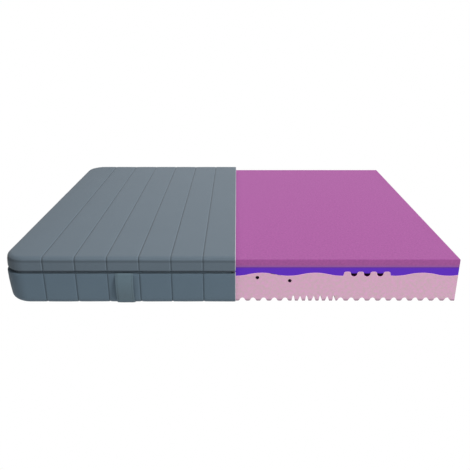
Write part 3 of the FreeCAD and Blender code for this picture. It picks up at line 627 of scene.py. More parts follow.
def quilted_skin(name, low_z, high_z, rounds, mouths, belly):
    """Quilted fabric over the top or round the border, open at the cut and at its mouths."""
    piece = cover_block(name, 0.0, low_z, high_z, *rounds)
    pick(piece, "FACE", lambda cos: all(near(co.x, CUT_X) for co in cos))
    bpy.ops.mesh.delete(type="FACE")
    for height, reach in mouths:
        open_mouth(piece, height, reach)
    slice_for_quilting(low_z + rounds[1], high_z - rounds[0], 6)
    leave()
    push_out(piece, quilt_rise, belly)
    use_modifier(piece, "SOLIDIFY", thickness=KNIT * 0.9, offset=-1, use_even_offset=True)
    smooth(piece, 60)
    return piece


def quilted_wadding(name, low_z, high_z, rounds, belly, hollow_low, hollow_high):
    """Wadding under the quilted fabric, hollow where the core lies, its fibres loose at the cut."""
    piece = cover_block(name, KNIT, low_z, high_z, *rounds)
    slice_for_quilting(low_z + rounds[1], high_z - rounds[0], 6)
    leave()
    push_out(piece, quilt_rise, belly, low_z)
    for vert in piece.data.vertices:
        if vert.co.x > CUT_X - 1 * MM:
            vert.co.x = CUT_X + CUT_FRINGE * (0.75 + 0.25 * noise.noise(vert.co * 150))
    hollow = cover_block(name + "_hollow", COVER_SIDE - CLEARANCE - LINING, hollow_low, hollow_high,
                         0, 0, 20 * MM)
    leave()
    carve(piece, hollow)
    smooth(piece, 60)
    return piece


def lining_sheet(name, low_z, high_z):
    """Lining between wadding and core, open towards the core."""
    piece = cover_block(name, COVER_SIDE - CLEARANCE - LINING, low_z, high_z, 0, 0)
    open_z = low_z if high_z > CORE_HIGH.z else high_z
    pick(piece, "FACE", lambda cos: all(near(co.x, CUT_X) for co in cos)
         or all(near(co.z, open_z) for co in cos))
    bpy.ops.mesh.delete(type="FACE")
    if open_z == high_z:
        pick(piece, "FACE", lambda cos: all(near(co.z, low_z) for co in cos))
        bpy.ops.mesh.delete(type="FACE")
    slice_at(0, [TOP_LOW.x + SHEET_STEP * i for i in range(1, 17)])
    slice_at(1, [TOP_LOW.y + SHEET_STEP * i for i in range(1, 27)])
    leave()
    push_out(piece, lambda co: 0.25 * MM * noise.noise(co * 9))
    use_modifier(piece, "SOLIDIFY", thickness=LINING * 0.8, offset=-1, use_even_offset=True)
    smooth(piece)
    return piece


def make_bottom_panel():
    """The panel under the core, slightly uneven above and flat where it rests."""
    piece = cover_block("bottom_cover_panel", COVER_SIDE, PANEL_LOW.z, PANEL_HIGH.z, 0.8 * MM, 0.8 * MM)
    slice_at(0, [TOP_LOW.x + SHEET_STEP * i for i in range(1, 17)])
    slice_at(1, [TOP_LOW.y + SHEET_STEP * i for i in range(1, 27)])
    leave()
    for vert in piece.data.vertices:
        if vert.co.z > PANEL_HIGH.z - 0.5 * MM:
            vert.co.z -= 0.4 * MM * abs(noise.noise(vert.co * 11))
    smooth(piece)
    return piece


# ---- stitches, coils and straps ----


def seam_route(low_z, high_z, top_round, sink):
    """Over the cover at a seam, from the front band to the rear, `sink` below the fabric's face."""
    front, rear = BORDER_LOW.y + sink, BORDER_HIGH.y - sink
    points = [(front, low_z), (front, high_z - sink), (rear, high_z - sink), (rear, low_z)]
    return rounded_route(points, [top_round - sink] * 2)


def across(x):
    """Places a seam's stitches across the mattress at `x`."""
    def to_space(place, heading, lateral, out):
        return Vector((x + lateral, place.x - heading.y * out, place.y + heading.x * out))
    return to_space


def stitch(name):
    """One stitch, along X."""
    bpy.ops.object.select_all(action="DESELECT")
    bpy.ops.mesh.primitive_cylinder_add(vertices=6, radius=STITCH_RADIUS, depth=STITCH_LENGTH,
                                        rotation=(0, math.pi / 2, 0), location=(2.4 * MM, 0, 0))
    unit = start_mesh(name)
    use_modifier(unit, "BEVEL", width=0.25 * MM, segments=1, limit_method="ANGLE")
    return unit


def make_top_thread():
    """Rows of stitches in every seam over the top cover."""
    sink = SEAM_DEPTH + 0.2 * MM
    length, at = seam_route(TOP_LOW.z + LIP_ROUND, TOP_HIGH.z, TOP_EDGE_ROUND, sink)
    row = repeat_along("top_quilt_stitches", stitch, length, STITCH_PITCH, at,
                       across(CUT_X - QUILT_PITCH))
    rows = [row]
    for seam in range(1, SEAM_COUNT):
        rows.append(copy_moved(row, "row", (-seam * QUILT_PITCH, 0, 0)))
    return join("top_quilt_stitches", rows)


def make_border_thread():
    """Rows of stitches in every seam down the border, front and rear."""
    sink = SEAM_DEPTH + 0.2 * MM
    low_z, high_z = BORDER_LOW.z + BOTTOM_EDGE_ROUND, BORDER_HIGH.z - LIP_ROUND
    face = BORDER_LOW.y + sink
    length, at = rounded_route([(face, low_z), (face, high_z)], [])
    row = repeat_along("border_quilt_stitches", stitch, length, STITCH_PITCH, at,
                       across(CUT_X - QUILT_PITCH))
    rows = []
    for seam in range(SEAM_COUNT):
        front = copy_moved(row, "row", (-seam * QUILT_PITCH, 0, 0))
        rows += [front, copy_moved(front, "row", mirror_y=True)]
    bpy.data.objects.remove(row)
    return join("border_quilt_stitches", rows)


def zip_route(inset):
    """Round the covered half at a depth behind the cover's face, from front to rear."""
    left, front, rear = TOP_LOW.x + inset, BORDER_LOW.y + inset, BORDER_HIGH.y - inset
    radius = COVER_CORNER - inset
    return rounded_route([(CUT_X, front), (left, front), (left, rear), (CUT_X, rear)], [radius] * 2)


def tooth(name):
    """One slanting turn of a zip's coil."""
    bpy.ops.object.select_all(action="DESELECT")
    bpy.ops.mesh.primitive_cylinder_add(vertices=6, radius=TOOTH_RADIUS, depth=TOOTH_LENGTH,
                                        rotation=(math.pi / 2, 0, 0), location=(1 * MM, 0, 0))
    unit = start_mesh(name)
    for vert in unit.data.vertices:
        vert.co.x += vert.co.y * 0.35
    return unit


def round_cover(middle_z):
    """Places a zip part round the cover: lateral is up, out is towards the cover's face."""
    def to_space(place, heading, lateral, out):
        side = Vector((heading.y, -heading.x)) * out
        return Vector((place.x + side.x, place.y + side.y, middle_z + lateral))
    return to_space


def open_garage(piece):
    """Takes away what lies where the slider is parked."""
    edit(piece)
    slider_y = (SLIDER_LOW.y + SLIDER_HIGH.y) / 2
    pick(piece, "FACE", lambda cos: all(co.x < TOP_LOW.x + 20 * MM
                                        and abs(co.y - slider_y) < GARAGE / 2 for co in cos))
    bpy.ops.mesh.delete(type="FACE")
    leave()


def make_coil(name, low_z, high_z):
    """A nylon coil: slanting turns side by side."""
    length, at = zip_route((UPPER_COIL_LOW.x + UPPER_TAPE_LOW.x) / 2 - TOP_LOW.x)
    return repeat_along(name, tooth, length, COIL_PITCH, at, round_cover((low_z + high_z) / 2))


def make_tape(name, low_z, high_z, parted):
    """The woven tape behind a coil, ribbed along the zip, with a gap at the parked slider if parted."""
    length, at = zip_route(ZIP_DEPTH + 0.5 * MM)
    bpy.ops.object.select_all(action="DESELECT")
    bpy.ops.mesh.primitive_grid_add(x_subdivisions=400, y_subdivisions=8, size=1,
                                    location=(length / 2, 0, 0))
    bpy.context.object.scale = (length, high_z - low_z, 1)
    piece = start_mesh(name)
    for vert in piece.data.vertices:
        vert.co.z = 0.12 * MM * math.cos(vert.co.y / (0.4 * MM))
    lay_along(piece, at, round_cover((low_z + high_z) / 2))
    if parted:
        open_garage(piece)
    use_modifier(piece, "SOLIDIFY", thickness=TAPE_THICKNESS, offset=0)
    smooth(piece)
    return piece


def strap_route():
    """Down the front from the zip's groove, standing off, and round under the bottom edge."""
    face = BORDER_LOW.y - 1.5 * MM
    top_z = BORDER_HIGH.z + 0.4 * MM
    points = [
        (face + 7 * MM, top_z),
        (face - 0.5 * MM, top_z - 1 * MM),
        (face - STRAP_BOW - 6 * MM, (top_z + BOTTOM_EDGE_ROUND) / 2),
        (face + 0.6 * MM, 3.8 * MM),
        (face + 16 * MM, 2.4 * MM),
    ]
    return rounded_route(points, [5 * MM, 160 * MM, 22 * MM])


def strap_to_space(place, heading, lateral, out):
    """Places a point of a strap in the plane of its route, and sideways along the mattress."""
    return Vector((0, place.x + heading.y * out, place.y - heading.x * out)) + Vector((lateral, 0, 0))


def make_strap(name):
    """A folded fabric strap, slightly padded, drawn in along each edge where it is stitched."""
    length, at = strap_route()
    width = STRAP_HIGH.x - STRAP_LOW.x
    bpy.ops.object.select_all(action="DESELECT")
    bpy.ops.mesh.primitive_grid_add(x_subdivisions=64, y_subdivisions=24, size=1,
                                    location=(length / 2, 0, 0))
    bpy.context.object.scale = (length, width, 1)
    piece = start_mesh(name)
    half = width / 2
    for vert in piece.data.vertices:
        edge = half - abs(vert.co.y)
        padding = 0.9 * MM * min(1.0, edge / (9 * MM))
        stitched = 0.7 * MM * math.exp(-((edge - STRAP_SEAM) / (1.6 * MM)) ** 2)
        vert.co.z = padding - stitched
        vert.co.z += STRAP_GRAIN * noise.noise(vert.co * 60)
    lay_along(piece, at, strap_to_space)
    middle = (STRAP_LOW.x + STRAP_HIGH.x) / 2
    for vert in piece.data.vertices:
        vert.co.x += middle
    use_modifier(piece, "SOLIDIFY", thickness=STRAP_THICKNESS, offset=0)
    use_modifier(piece, "BEVEL", width=0.8 * MM, segments=3, limit_method="ANGLE",
                 angle_limit=math.radians(50))
    edit(piece)
    bpy.ops.mesh.select_all(action="SELECT")
    bpy.ops.mesh.normals_make_consistent(inside=False)
    leave()
    smooth(piece)
    return piece


def make_strap_stitches(name):
    """Two rows of stitches along a strap, near its edges."""
    length, at = strap_route()
    middle = (STRAP_LOW.x + STRAP_HIGH.x) / 2
    half = (STRAP_HIGH.x - STRAP_LOW.x) / 2 - STRAP_SEAM
    rows = []
    for side in (-1, 1):
        def to_space(place, heading, lateral, out, side=side):
            return strap_to_space(place, heading, lateral + middle + side * half, out + 1.5 * MM)
        rows.append(repeat_along(name, stitch, length - 18 * MM, STITCH_PITCH, at, to_space))
    return join(name, rows)


# ---- shader groups ----

FULL_TURN = 6.2832
# how much of each painted mark lies on quilted cloth, and the factor of the cloth's colour in it; Side is
# a painted highlight beside each seam, the others are painted shade
QUILT_PAINTED_LIGHT = {"Side": (0.15, 2.0), "Lips": (0.35, 0.5), "Crease": (0.5, 0.5), "Seam": (0.8, 0.4)}
# width of the painted shade in the crease under the top edge
CREASE_PAINTED_SHADE_WIDTH = 9 * MM
# painted shade: the near-black colour of bore walls and of the slots' air
VENT_PAINTED_SHADE = (0.045, 0.004, 0.050)
# factors of the foam's colour on an eased edge, a painted highlight, and of the zip's colour deep in its
# groove, a painted shade
RIM_PAINTED_HIGHLIGHT = 1.5
GROOVE_PAINTED_SHADE = 0.25


def shader_group(name, inputs, outputs):
    """A node group with named inputs and outputs, each a (name, kind, value)."""
    group = bpy.data.node_groups.new(name, "ShaderNodeTree")
    for label, kind, value in inputs:
        made = group.interface.new_socket(label, in_out="INPUT", socket_type=kind)
        made.default_value = value
    for label, kind in outputs:
        group.interface.new_socket(label, in_out="OUTPUT", socket_type=kind)
    return group, group.nodes.new("NodeGroupInput"), group.nodes.new("NodeGroupOutput")


def node(tree, kind, links=None, **settings):
    """Adds a node, sets its properties and joins or sets its inputs."""
    made = tree.nodes.new(kind)
    for setting, value in settings.items():
        setattr(made, setting, value)
    for key, value in (links or {}).items():
        if isinstance(value, bpy.types.NodeSocket):
            tree.links.new(value, made.inputs[key])
        else:
            made.inputs[key].default_value = value
    return made


def maths(tree, operation, first, second=0.0):
    """One step of arithmetic."""
    return node(tree, "ShaderNodeMath", {0: first, 1: second}, operation=operation).outputs[0]


def knit_group():
    """Fine knitted loops: waves that cross along all three axes, so they are alike on every side."""
    group, given, made = shader_group(
        "KnitLoops",
        [("Loops per metre", "NodeSocketFloat", 500.0)],
        [("Height", "NodeSocketFloat"), ("Mask", "NodeSocketFloat")])
    where = node(group, "ShaderNodeTexCoord").outputs["Object"]
    scaled = node(group, "ShaderNodeVectorMath", {0: where, 3: given.outputs[0]}, operation="SCALE")
    turned = node(group, "ShaderNodeVectorMath", {0: scaled.outputs[0], 3: FULL_TURN},
                  operation="SCALE")
    split = node(group, "ShaderNodeSeparateXYZ", {0: turned.outputs[0]})
    x, y, z = split.outputs
    parts = []
    for a, b in ((x, y), (y, z), (z, x)):
        sine = maths(group, "SINE", a)
        cosine = maths(group, "COSINE", b)
        parts.append(maths(group, "MULTIPLY", sine, cosine))
    total = maths(group, "ADD", maths(group, "ADD", parts[0], parts[1]), parts[2])
    height = maths(group, "MULTIPLY_ADD", total, 0.3)
    height.node.inputs[2].default_value = 0.5
    mask = node(group, "ShaderNodeMapRange", {0: height, 1: 0.2, 2: 0.8})
    group.links.new(height, made.inputs["Height"])
    group.links.new(mask.outputs[0], made.inputs["Mask"])
    return group


def pores_group():
    """Open-cell foam: small pits of mixed size and a soft mottling."""
    group, given, made = shader_group(
        "OpenCells",
        [("Cells per metre", "NodeSocketFloat", 400.0), ("Mottle per metre", "NodeSocketFloat", 60.0)],
        [("Height", "NodeSocketFloat"), ("Pits", "NodeSocketFloat"), ("Mottle", "NodeSocketFloat")])
    where = node(group, "ShaderNodeTexCoord").outputs["Object"]
    cells = node(group, "ShaderNodeTexVoronoi",
                 {"Vector": where, "Scale": given.outputs["Cells per metre"], "Randomness": 1.0})
    fine = node(group, "ShaderNodeTexNoise",
                {"Vector": where, "Scale": given.outputs["Cells per metre"], "Detail": 3.0})
    mottle = node(group, "ShaderNodeTexNoise",
                  {"Vector": where, "Scale": given.outputs["Mottle per metre"], "Detail": 4.0})
    pits = node(group, "ShaderNodeMapRange", {0: cells.outputs["Distance"], 1: 0.1, 2: 0.45})
    height = maths(group, "ADD", pits.outputs[0], maths(group, "MULTIPLY", fine.outputs[0], 0.6))
    spread = node(group, "ShaderNodeMapRange", {0: mottle.outputs[0], 1: 0.3, 2: 0.7})
    group.links.new(height, made.inputs["Height"])
    group.links.new(pits.outputs[0], made.inputs["Pits"])
    group.links.new(spread.outputs[0], made.inputs["Mottle"])
    return group


def seam_painted_shade_group():
    """Where quilted cloth gets painted shade: in its seams and crease. Side is a seam's edge with a
    painted highlight.
    """
    group, given, made = shader_group(
        "SeamShade",
        [("First seam", "NodeSocketFloat", 0.0), ("Pitch", "NodeSocketFloat", 0.1),
         ("Last count", "NodeSocketFloat", 6.0), ("Width", "NodeSocketFloat", 0.004),
         ("Crease height", "NodeSocketFloat", 0.2), ("Crease width", "NodeSocketFloat", 0.01)],
        [("Seam", "NodeSocketFloat"), ("Side", "NodeSocketFloat"), ("Crease", "NodeSocketFloat")])
    pitch, width = given.outputs["Pitch"], given.outputs["Width"]
    where = node(group, "ShaderNodeTexCoord").outputs["Object"]
    place = node(group, "ShaderNodeSeparateXYZ", {0: where})
    from_first = maths(group, "SUBTRACT", given.outputs["First seam"], place.outputs[0])
    nearest = maths(group, "ROUND", maths(group, "DIVIDE", from_first, pitch))
    kept = maths(group, "MINIMUM", maths(group, "MAXIMUM", nearest, 0.0), given.outputs["Last count"])
    offset = maths(group, "SUBTRACT", from_first, maths(group, "MULTIPLY", kept, pitch))
    shares = {
        "Seam": maths(group, "DIVIDE", maths(group, "ABSOLUTE", offset), width),
        "Side": maths(group, "ABSOLUTE", maths(group, "DIVIDE",
                                               maths(group, "SUBTRACT", offset, width), width)),
        "Crease": maths(group, "DIVIDE", maths(group, "ABSOLUTE", maths(
            group, "SUBTRACT", place.outputs[2], given.outputs["Crease height"])),
            given.outputs["Crease width"]),
    }
    for name, share in shares.items():
        mask = node(group, "ShaderNodeMapRange", {0: share, 1: 0.2, 2: 1.0, 3: 1.0, 4: 0.0})
        group.links.new(mask.outputs[0], made.inputs[name])
    return group


def axis_share_group():
    """How far a place is along an axis between two places, from 0 to 1."""
    group, given, made = shader_group(
        "AxisShare",
        [("Axis", "NodeSocketVector", (0.0, 0.0, 1.0)), ("Low", "NodeSocketFloat", 0.0),
         ("High", "NodeSocketFloat", 1.0)],
        [("Share", "NodeSocketFloat")])
    where = node(group, "ShaderNodeTexCoord").outputs["Object"]
    along = node(group, "ShaderNodeVectorMath", {0: where, 1: given.outputs["Axis"]},
                 operation="DOT_PRODUCT").outputs["Value"]
    share = node(group, "ShaderNodeMapRange",
                 {0: along, 1: given.outputs["Low"], 2: given.outputs["High"]})
    group.links.new(share.outputs[0], made.inputs["Share"])
    return group


KNIT_LOOPS = knit_group()
OPEN_CELLS = pores_group()
SEAM_PAINTED_SHADE = seam_painted_shade_group()
AXIS_SHARE = axis_share_group()


def new_material(name, roughness, sheen=0.0, metallic=0.0, specular=0.3):
    """A material, its node tree and its shader with the even values set."""
    material = bpy.data.materials.new(name)
    material.use_nodes = True
    shader = material.node_tree.nodes["Principled BSDF"]
    shader.inputs["Roughness"].default_value = roughness
    shader.inputs["Sheen Weight"].default_value = sheen
    shader.inputs["Metallic"].default_value = metallic
    shader.inputs["Specular IOR Level"].default_value = specular
    return material, material.node_tree, shader


def blend_colours(tree, factor, first, second):
    """The first colour where the factor is 0, the second where it is 1."""
    mixed = node(tree, "ShaderNodeMix", {0: factor, 6: first, 7: second}, data_type="RGBA")
    return mixed.outputs[2]


def bump(tree, shader, height, strength, distance):
    """Raises the shader's surface by a height."""
    raised = node(tree, "ShaderNodeBump",
                  {"Strength": strength, "Distance": distance, "Height": height})
    tree.links.new(raised.outputs[0], shader.inputs["Normal"])


def opaque(colour, factor=1.0):
    """A colour made lighter or darker by a factor."""
    return [min(1.0, channel * factor) for channel in colour] + [1.0]


def axis_share(tree, low, high, axis=(0, 0, 1)):
    """How far a place is from a low to a high place along an axis, up if none is given."""
    share = node(tree, "ShaderNodeGroup", node_tree=AXIS_SHARE)
    share.inputs["Axis"].default_value = axis
    share.inputs["Low"].default_value = low
    share.inputs["High"].default_value = high
    return share.outputs[0]


def paint_quilt_light_and_shade(tree, shade, colour):
    """Paints shade into the seams, the crease and the lips at the zip, and a highlight on one side of
    each upper seam.
    """
    seam = node(tree, "ShaderNodeGroup", node_tree=SEAM_PAINTED_SHADE)
    seam.inputs["First seam"].default_value = CUT_X - QUILT_PITCH
    seam.inputs["Pitch"].default_value = QUILT_PITCH
    seam.inputs["Last count"].default_value = SEAM_COUNT - 1
    seam.inputs["Width"].default_value = SEAM_WIDTH
    seam.inputs["Crease height"].default_value = CREASE_Z
    seam.inputs["Crease width"].default_value = CREASE_PAINTED_SHADE_WIDTH
    # where the painted shade of the lips falls below and above the zip, and the painted seam highlight
    # only above it
    above_zip = axis_share(tree, ZIP_Z - 1 * MM, ZIP_Z + 1 * MM)
    under_lip = axis_share(tree, ZIP_Z - 14 * MM, BORDER_HIGH.z)
    over_lip = axis_share(tree, ZIP_Z + 12 * MM, TOP_LOW.z)
    below_zip = maths(tree, "SUBTRACT", 1.0, above_zip)
    lips = maths(tree, "ADD", maths(tree, "MULTIPLY", under_lip, below_zip),
                 maths(tree, "MULTIPLY", over_lip, above_zip))
    side = maths(tree, "MULTIPLY", seam.outputs["Side"], above_zip)
    masks = {"Side": side, "Lips": lips, "Crease": seam.outputs["Crease"],
             "Seam": seam.outputs["Seam"]}
    for name, mask in masks.items():
        amount, factor = QUILT_PAINTED_LIGHT[name]
        shade = blend_colours(tree, maths(tree, "MULTIPLY", mask, amount), shade,
                              opaque(colour, factor))
    return shade


def paint_groove_shade(tree, shade, colour):
    """Paints shade on what lies deep in the zip's groove where the cut opens it to the light."""
    at_cut = axis_share(tree, CUT_X - 22 * MM, CUT_X - 12 * MM, (1, 0, 0))
    return blend_colours(tree, maths(tree, "MULTIPLY", at_cut, 0.9), shade, opaque(colour, GROOVE_PAINTED_SHADE))


def knit_material(name, colour, loops, quilted=False, in_groove=False):
    """Knitted or woven cloth: loops that catch the light, slight shade changes, painted shade and
    highlights at the seams if quilted, and painted shade if deep in the zip's groove.
    """
    material, tree, shader = new_material(name, 0.85, sheen=0.12, specular=0.2)
    knit = node(tree, "ShaderNodeGroup", node_tree=KNIT_LOOPS)
    knit.inputs[0].default_value = loops
    where = node(tree, "ShaderNodeTexCoord").outputs["Object"]
    patches = node(tree, "ShaderNodeTexNoise", {"Vector": where, "Scale": 7.0, "Detail": 3.0})
    shade = blend_colours(tree, knit.outputs["Mask"], opaque(colour, 0.86), opaque(colour, 1.1))
    drift = node(tree, "ShaderNodeMapRange", {0: patches.outputs[0], 1: 0.3, 2: 0.7, 3: 0.0, 4: 0.3})
    shade = blend_colours(tree, drift.outputs[0], shade, opaque(colour, 0.9))
    if quilted:
        shade = paint_quilt_light_and_shade(tree, shade, colour)
    if in_groove:
        shade = paint_groove_shade(tree, shade, colour)
    tree.links.new(shade, shader.inputs["Base Color"])
    bump(tree, shader, knit.outputs["Height"], 0.35, 0.4 * MM)
    return material


def foam_material(name, colour, cells, mottle, second, bands=()):
    """Cut foam: small pits, mottling towards a second colour, and bands of another shade.

    Each band is the height where it starts, the height where it is full, and its colour.
    """
    material, tree, shader = new_material(name, 0.9, sheen=0.05, specular=0.15)
    pores = node(tree, "ShaderNodeGroup", node_tree=OPEN_CELLS)
    pores.inputs["Cells per metre"].default_value = cells
    pores.inputs["Mottle per metre"].default_value = mottle
    shade = blend_colours(tree, pores.outputs["Pits"], opaque(colour, 0.85), opaque(colour, 1.05))
    shade = blend_colours(tree, maths(tree, "MULTIPLY", pores.outputs["Mottle"], 0.6), shade,
                          opaque(second))
    for low, high, hue in bands:
        shade = blend_colours(tree, axis_share(tree, low, high), shade, opaque(hue))
    # painted highlight on the eased rim along the joint
    rim = node(tree, "ShaderNodeAttribute", attribute_name="rim")
    shade = blend_colours(tree, rim.outputs["Fac"], shade, opaque(colour, RIM_PAINTED_HIGHLIGHT))
    # painted shade on bore walls and in the slots' air
    vent = node(tree, "ShaderNodeAttribute", attribute_name="vent")
    shade = blend_colours(tree, vent.outputs["Fac"], shade, opaque(VENT_PAINTED_SHADE))
    tree.links.new(shade, shader.inputs["Base Color"])
    bump(tree, shader, pores.outputs["Height"], 0.4, 0.5 * MM)
    return material


def plain_material(name, colour, roughness, metallic=0.0, grain=300.0, depth=0.05 * MM,
                   in_groove=False):
    """Nylon or plated metal with a fine uneven surface."""
    material, tree, shader = new_material(name, roughness, metallic=metallic)
    where = node(tree, "ShaderNodeTexCoord").outputs["Object"]
    uneven = node(tree, "ShaderNodeTexNoise", {"Vector": where, "Scale": grain, "Detail": 3.0})
    shade = blend_colours(tree, uneven.outputs[0], opaque(colour), opaque(colour, 0.8))
    # painted shade deep in the zip's groove near the cut
    if in_groove:
        shade = paint_groove_shade(tree, shade, colour)
    tree.links.new(shade, shader.inputs["Base Color"])
    rough = node(tree, "ShaderNodeMapRange",
                 {0: uneven.outputs[0], 3: roughness * 0.8, 4: min(1, roughness * 1.2)})
    tree.links.new(rough.outputs[0], shader.inputs["Roughness"])
    bump(tree, shader, uneven.outputs[0], 0.3, depth)
    return material


MATERIALS = {
    "memory_foam": foam_material(
        "MagentaMemoryFoam", (0.270, 0.0672, 0.229), 900, 110, (0.190, 0.049, 0.178),
        [(CORE_LOW.z + 12 * MM, CORE_LOW.z, (0.200, 0.075, 0.260))]),
    "gel_foam": foam_material(
        "VioletGelFoam", (0.080, 0.017, 0.370), 700, 70, (0.086, 0.018, 0.390),
        [(GEL_HIGH.z - 7 * MM, GEL_HIGH.z, (0.112, 0.023, 0.205))]),
    # the base turns greyer and darker from 12 mm down to 1 mm above the floor: painted shade at the
    # notches' tips
    "support_foam": foam_material(
        "PinkSupportFoam", (0.522, 0.273, 0.425), 500, 75, (0.370, 0.330, 0.290),
        [(12 * MM, 1 * MM, (0.250, 0.165, 0.210))]),
    "cover_fabric": knit_material("QuiltedKnit", (0.077, 0.103, 0.127), 420, quilted=True),
    "border_fabric": knit_material("QuiltedBorderKnit", (0.0718, 0.1061, 0.1365), 420, quilted=True),
    "quilting_thread": knit_material("QuiltingThread", (0.045, 0.058, 0.070), 1500),
    "wadding": foam_material("FibreWadding", (0.420, 0.400, 0.440), 350, 60, (0.380, 0.370, 0.400)),
    "lining": knit_material("LiningCloth", (0.300, 0.315, 0.330), 700),
    "bottom_fabric": knit_material("BottomCloth", (0.060, 0.076, 0.090), 350),
    "zip_tape": knit_material("ZipTape", (0.100, 0.137, 0.170), 900, in_groove=True),
    "zip_coil": plain_material("ZipCoil", (0.085, 0.116, 0.145), 0.4, in_groove=True),
    "strap": knit_material("StrapCloth", (0.0755, 0.1114, 0.1343), 520),
    "zip_metal": plain_material("PlatedMetal", (0.42, 0.43, 0.45), 0.32, 1.0, 900, 0.01 * MM),
}


def finish_piece(piece, body, nodes, slot, material=None):
    """Gives a piece the material for its slot, hides the CAD nodes it stands for and attaches it to the
    body it rides on.
    """
    piece.data.materials.clear()
    piece.data.materials.append(MATERIALS[material or slot])
    if nodes:
        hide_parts(*nodes)
    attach(piece, body)
    return piece


def make_foams():
    """The three layers of the core."""
    base = finish_piece(make_support_foam(), "mattress", ["support_foam"], "support_foam")
    gel = finish_piece(make_gel_foam(), "mattress", ["gel_foam"], "gel_foam")
    memory = finish_piece(make_memory_foam(), "mattress", ["memory_foam"], "memory_foam")


def make_top_cover():
    """The quilted top with its band, down to the zip."""
    rounds = (TOP_EDGE_ROUND, LIP_ROUND)
    mouths = [(TOP_LOW.z, ZIP_DEPTH - LIP_ROUND)]
    fabric = quilted_skin("quilted_top_fabric", TOP_LOW.z, TOP_HIGH.z, rounds, mouths, upper_belly)
    finish_piece(fabric, "top_cover", ["top_cover_fabric"], "cover_fabric")
    wadding = quilted_wadding(
        "top_wadding", TOP_LOW.z + KNIT, TOP_HIGH.z - KNIT, [r - KNIT for r in rounds], upper_belly,
        TOP_LOW.z - 10 * MM, CORE_HIGH.z + CLEARANCE + LINING)
    finish_piece(wadding, "top_cover", ["top_cover_wadding"], "wadding")
    lining = lining_sheet("top_lining", TOP_LOW.z + LINING, CORE_HIGH.z + CLEARANCE + LINING)
    finish_piece(lining, "top_cover", ["top_cover_lining"], "lining")
    thread = finish_piece(make_top_thread(), "top_cover", ["top_quilting_thread"], "quilting_thread")


def make_border():
    """The quilted border below the zip, with the panel under the core."""
    rounds = (LIP_ROUND, BOTTOM_EDGE_ROUND)
    mouths = [(BORDER_HIGH.z, ZIP_DEPTH - LIP_ROUND),
              (BORDER_LOW.z, COVER_SIDE - BOTTOM_EDGE_ROUND)]
    fabric = quilted_skin("quilted_border_fabric", BORDER_LOW.z, BORDER_HIGH.z, rounds, mouths,
                          lower_belly)
    finish_piece(fabric, "mattress", ["border_fabric"], "cover_fabric", "border_fabric")
    wadding = quilted_wadding(
        "border_wadding_ring", BORDER_LOW.z + KNIT, BORDER_HIGH.z - KNIT, [r - KNIT for r in rounds],
        lower_belly, BORDER_LOW.z - 10 * MM, BORDER_HIGH.z + 10 * MM)
    finish_piece(wadding, "mattress", ["border_wadding"], "wadding")
    lining = lining_sheet("border_lining_ring", BORDER_LOW.z + KNIT, BORDER_HIGH.z - LINING)
    finish_piece(lining, "mattress", ["border_lining"], "lining")
    thread = finish_piece(make_border_thread(), "mattress", ["border_quilting_thread"],
                          "quilting_thread")
    panel = finish_piece(make_bottom_panel(), "mattress", ["bottom_panel"], "bottom_fabric")


def make_zip():
    """Coils and tapes of both halves, and the metal look of the slider and its tab."""
    halves = (("upper", "top_cover", (ZIP_Z + COIL_GAP, UPPER_COIL_HIGH.z),
               (ZIP_Z + COIL_GAP, UPPER_TAPE_HIGH.z)),
              ("lower", "mattress", (LOWER_COIL_LOW.z, ZIP_Z - COIL_GAP),
               (LOWER_TAPE_LOW.z, ZIP_Z - COIL_GAP)))
    for side, body, coil_heights, tape_heights in halves:
        parted = side == "upper"
        coil = make_coil(side + "_coil_teeth", *coil_heights)
        if parted:
            open_garage(coil)
        finish_piece(coil, body, [side + "_zip_coil"], "zip_coil")
        tape = make_tape(side + "_woven_tape", *tape_heights, parted)
        finish_piece(tape, body, [side + "_zip_tape"], "zip_tape")
    for name in ("zip_slider", "zip_pull_tab"):
        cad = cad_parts[name]
        cad.data.materials.clear()
        cad.data.materials.append(MATERIALS["zip_metal"])


def make_handles():
    """A strap on each long side."""
    front = make_strap("front_strap")
    front_stitches = make_strap_stitches("front_strap_stitches")
    rear = copy_moved(front, "rear_strap", mirror_y=True)
    rear_stitches = copy_moved(front_stitches, "rear_strap_stitches", mirror_y=True)
    length = strap_route()[0]
    for strap, stitches, cad in ((front, front_stitches, "handle_front"),
                                 (rear, rear_stitches, "handle_rear")):
        finish_piece(strap, "mattress", [cad], "strap")
        finish_piece(stitches, "mattress", [], "quilting_thread")


# ---- camera, floor and light ----

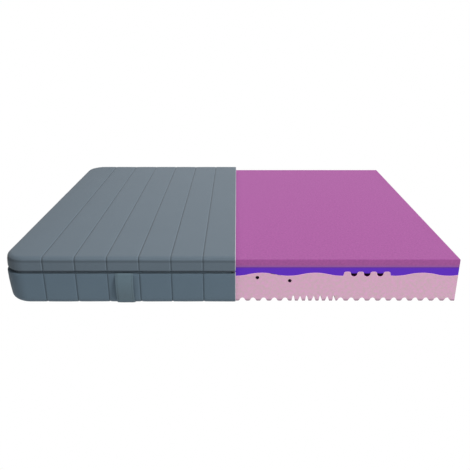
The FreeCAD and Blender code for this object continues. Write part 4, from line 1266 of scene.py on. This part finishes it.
FLAG_LOW, FLAG_HIGH = (-1.37, -2.4, 0.0), (-1.35, 2.4, 0.8)
LAMP_FROM = (0.60, -0.30, 0.74)
LAMP_ENERGY = 2.97
LAMP_WIDTH_DEGREES = 12
CAMERA_PLACE = (CUT_X + 8 * MM, -2.957, 1.1527)
CAMERA_DOWN_DEGREES = 21.04
CAMERA_LENS = 42.34
CAMERA_SHIFT = -0.0042


def make_stage():
    """A floor that glows so that no shadow lies on it, soft light from above, and a dark flag.

    The flag keeps light off the covered end, and the camera doesn't see it.
    """
    bpy.ops.object.select_all(action="DESELECT")
    bpy.ops.mesh.primitive_plane_add(size=60, location=(0, 0, -0.5 * MM))
    floor = start_mesh("studio_floor")
    material, _, shader = new_material("PaleFloor", 1.0, specular=0.0)
    shader.inputs["Base Color"].default_value = (0.0, 0.0, 0.0, 1)
    shader.inputs["Emission Color"].default_value = (1, 1, 1, 1)
    shader.inputs["Emission Strength"].default_value = 1.0
    floor.data.materials.append(material)

    world = bpy.data.worlds.new("StudioLight")
    world.use_nodes = True
    world.node_tree.nodes["Background"].inputs[0].default_value = (1, 1, 1, 1)
    bpy.context.scene.world = world

    flag = add_block("studio_flag", FLAG_LOW, FLAG_HIGH)
    flag.visible_camera = False
    dark, _, dark_shader = new_material("BlackFlag", 1.0, specular=0.0)
    dark_shader.inputs["Base Color"].default_value = (0.01, 0.01, 0.01, 1)
    flag.data.materials.append(dark)

    lamp = bpy.data.lights.new("OverheadSoftbox", "SUN")
    lamp.energy = LAMP_ENERGY
    lamp.angle = math.radians(LAMP_WIDTH_DEGREES)
    lamp_holder = bpy.data.objects.new("OverheadSoftbox", lamp)
    lamp_holder.rotation_euler = Vector(LAMP_FROM).to_track_quat("Z", "Y").to_euler()
    bpy.context.scene.collection.objects.link(lamp_holder)


def make_camera():
    """In front of the long side, above it and looking down at it."""
    data = bpy.data.cameras.new("Camera")
    data.sensor_width = 36
    data.lens = CAMERA_LENS
    data.shift_x = CAMERA_SHIFT
    camera = bpy.data.objects.new("Camera", data)
    camera.location = CAMERA_PLACE
    camera.rotation_euler = (math.radians(90 - CAMERA_DOWN_DEGREES), 0, 0)
    bpy.context.scene.collection.objects.link(camera)
    bpy.context.scene.camera = camera
    bpy.context.scene.view_settings.view_transform = "Standard"


make_camera()
make_stage()
make_foams()
make_top_cover()
make_border()
make_zip()
make_handles()
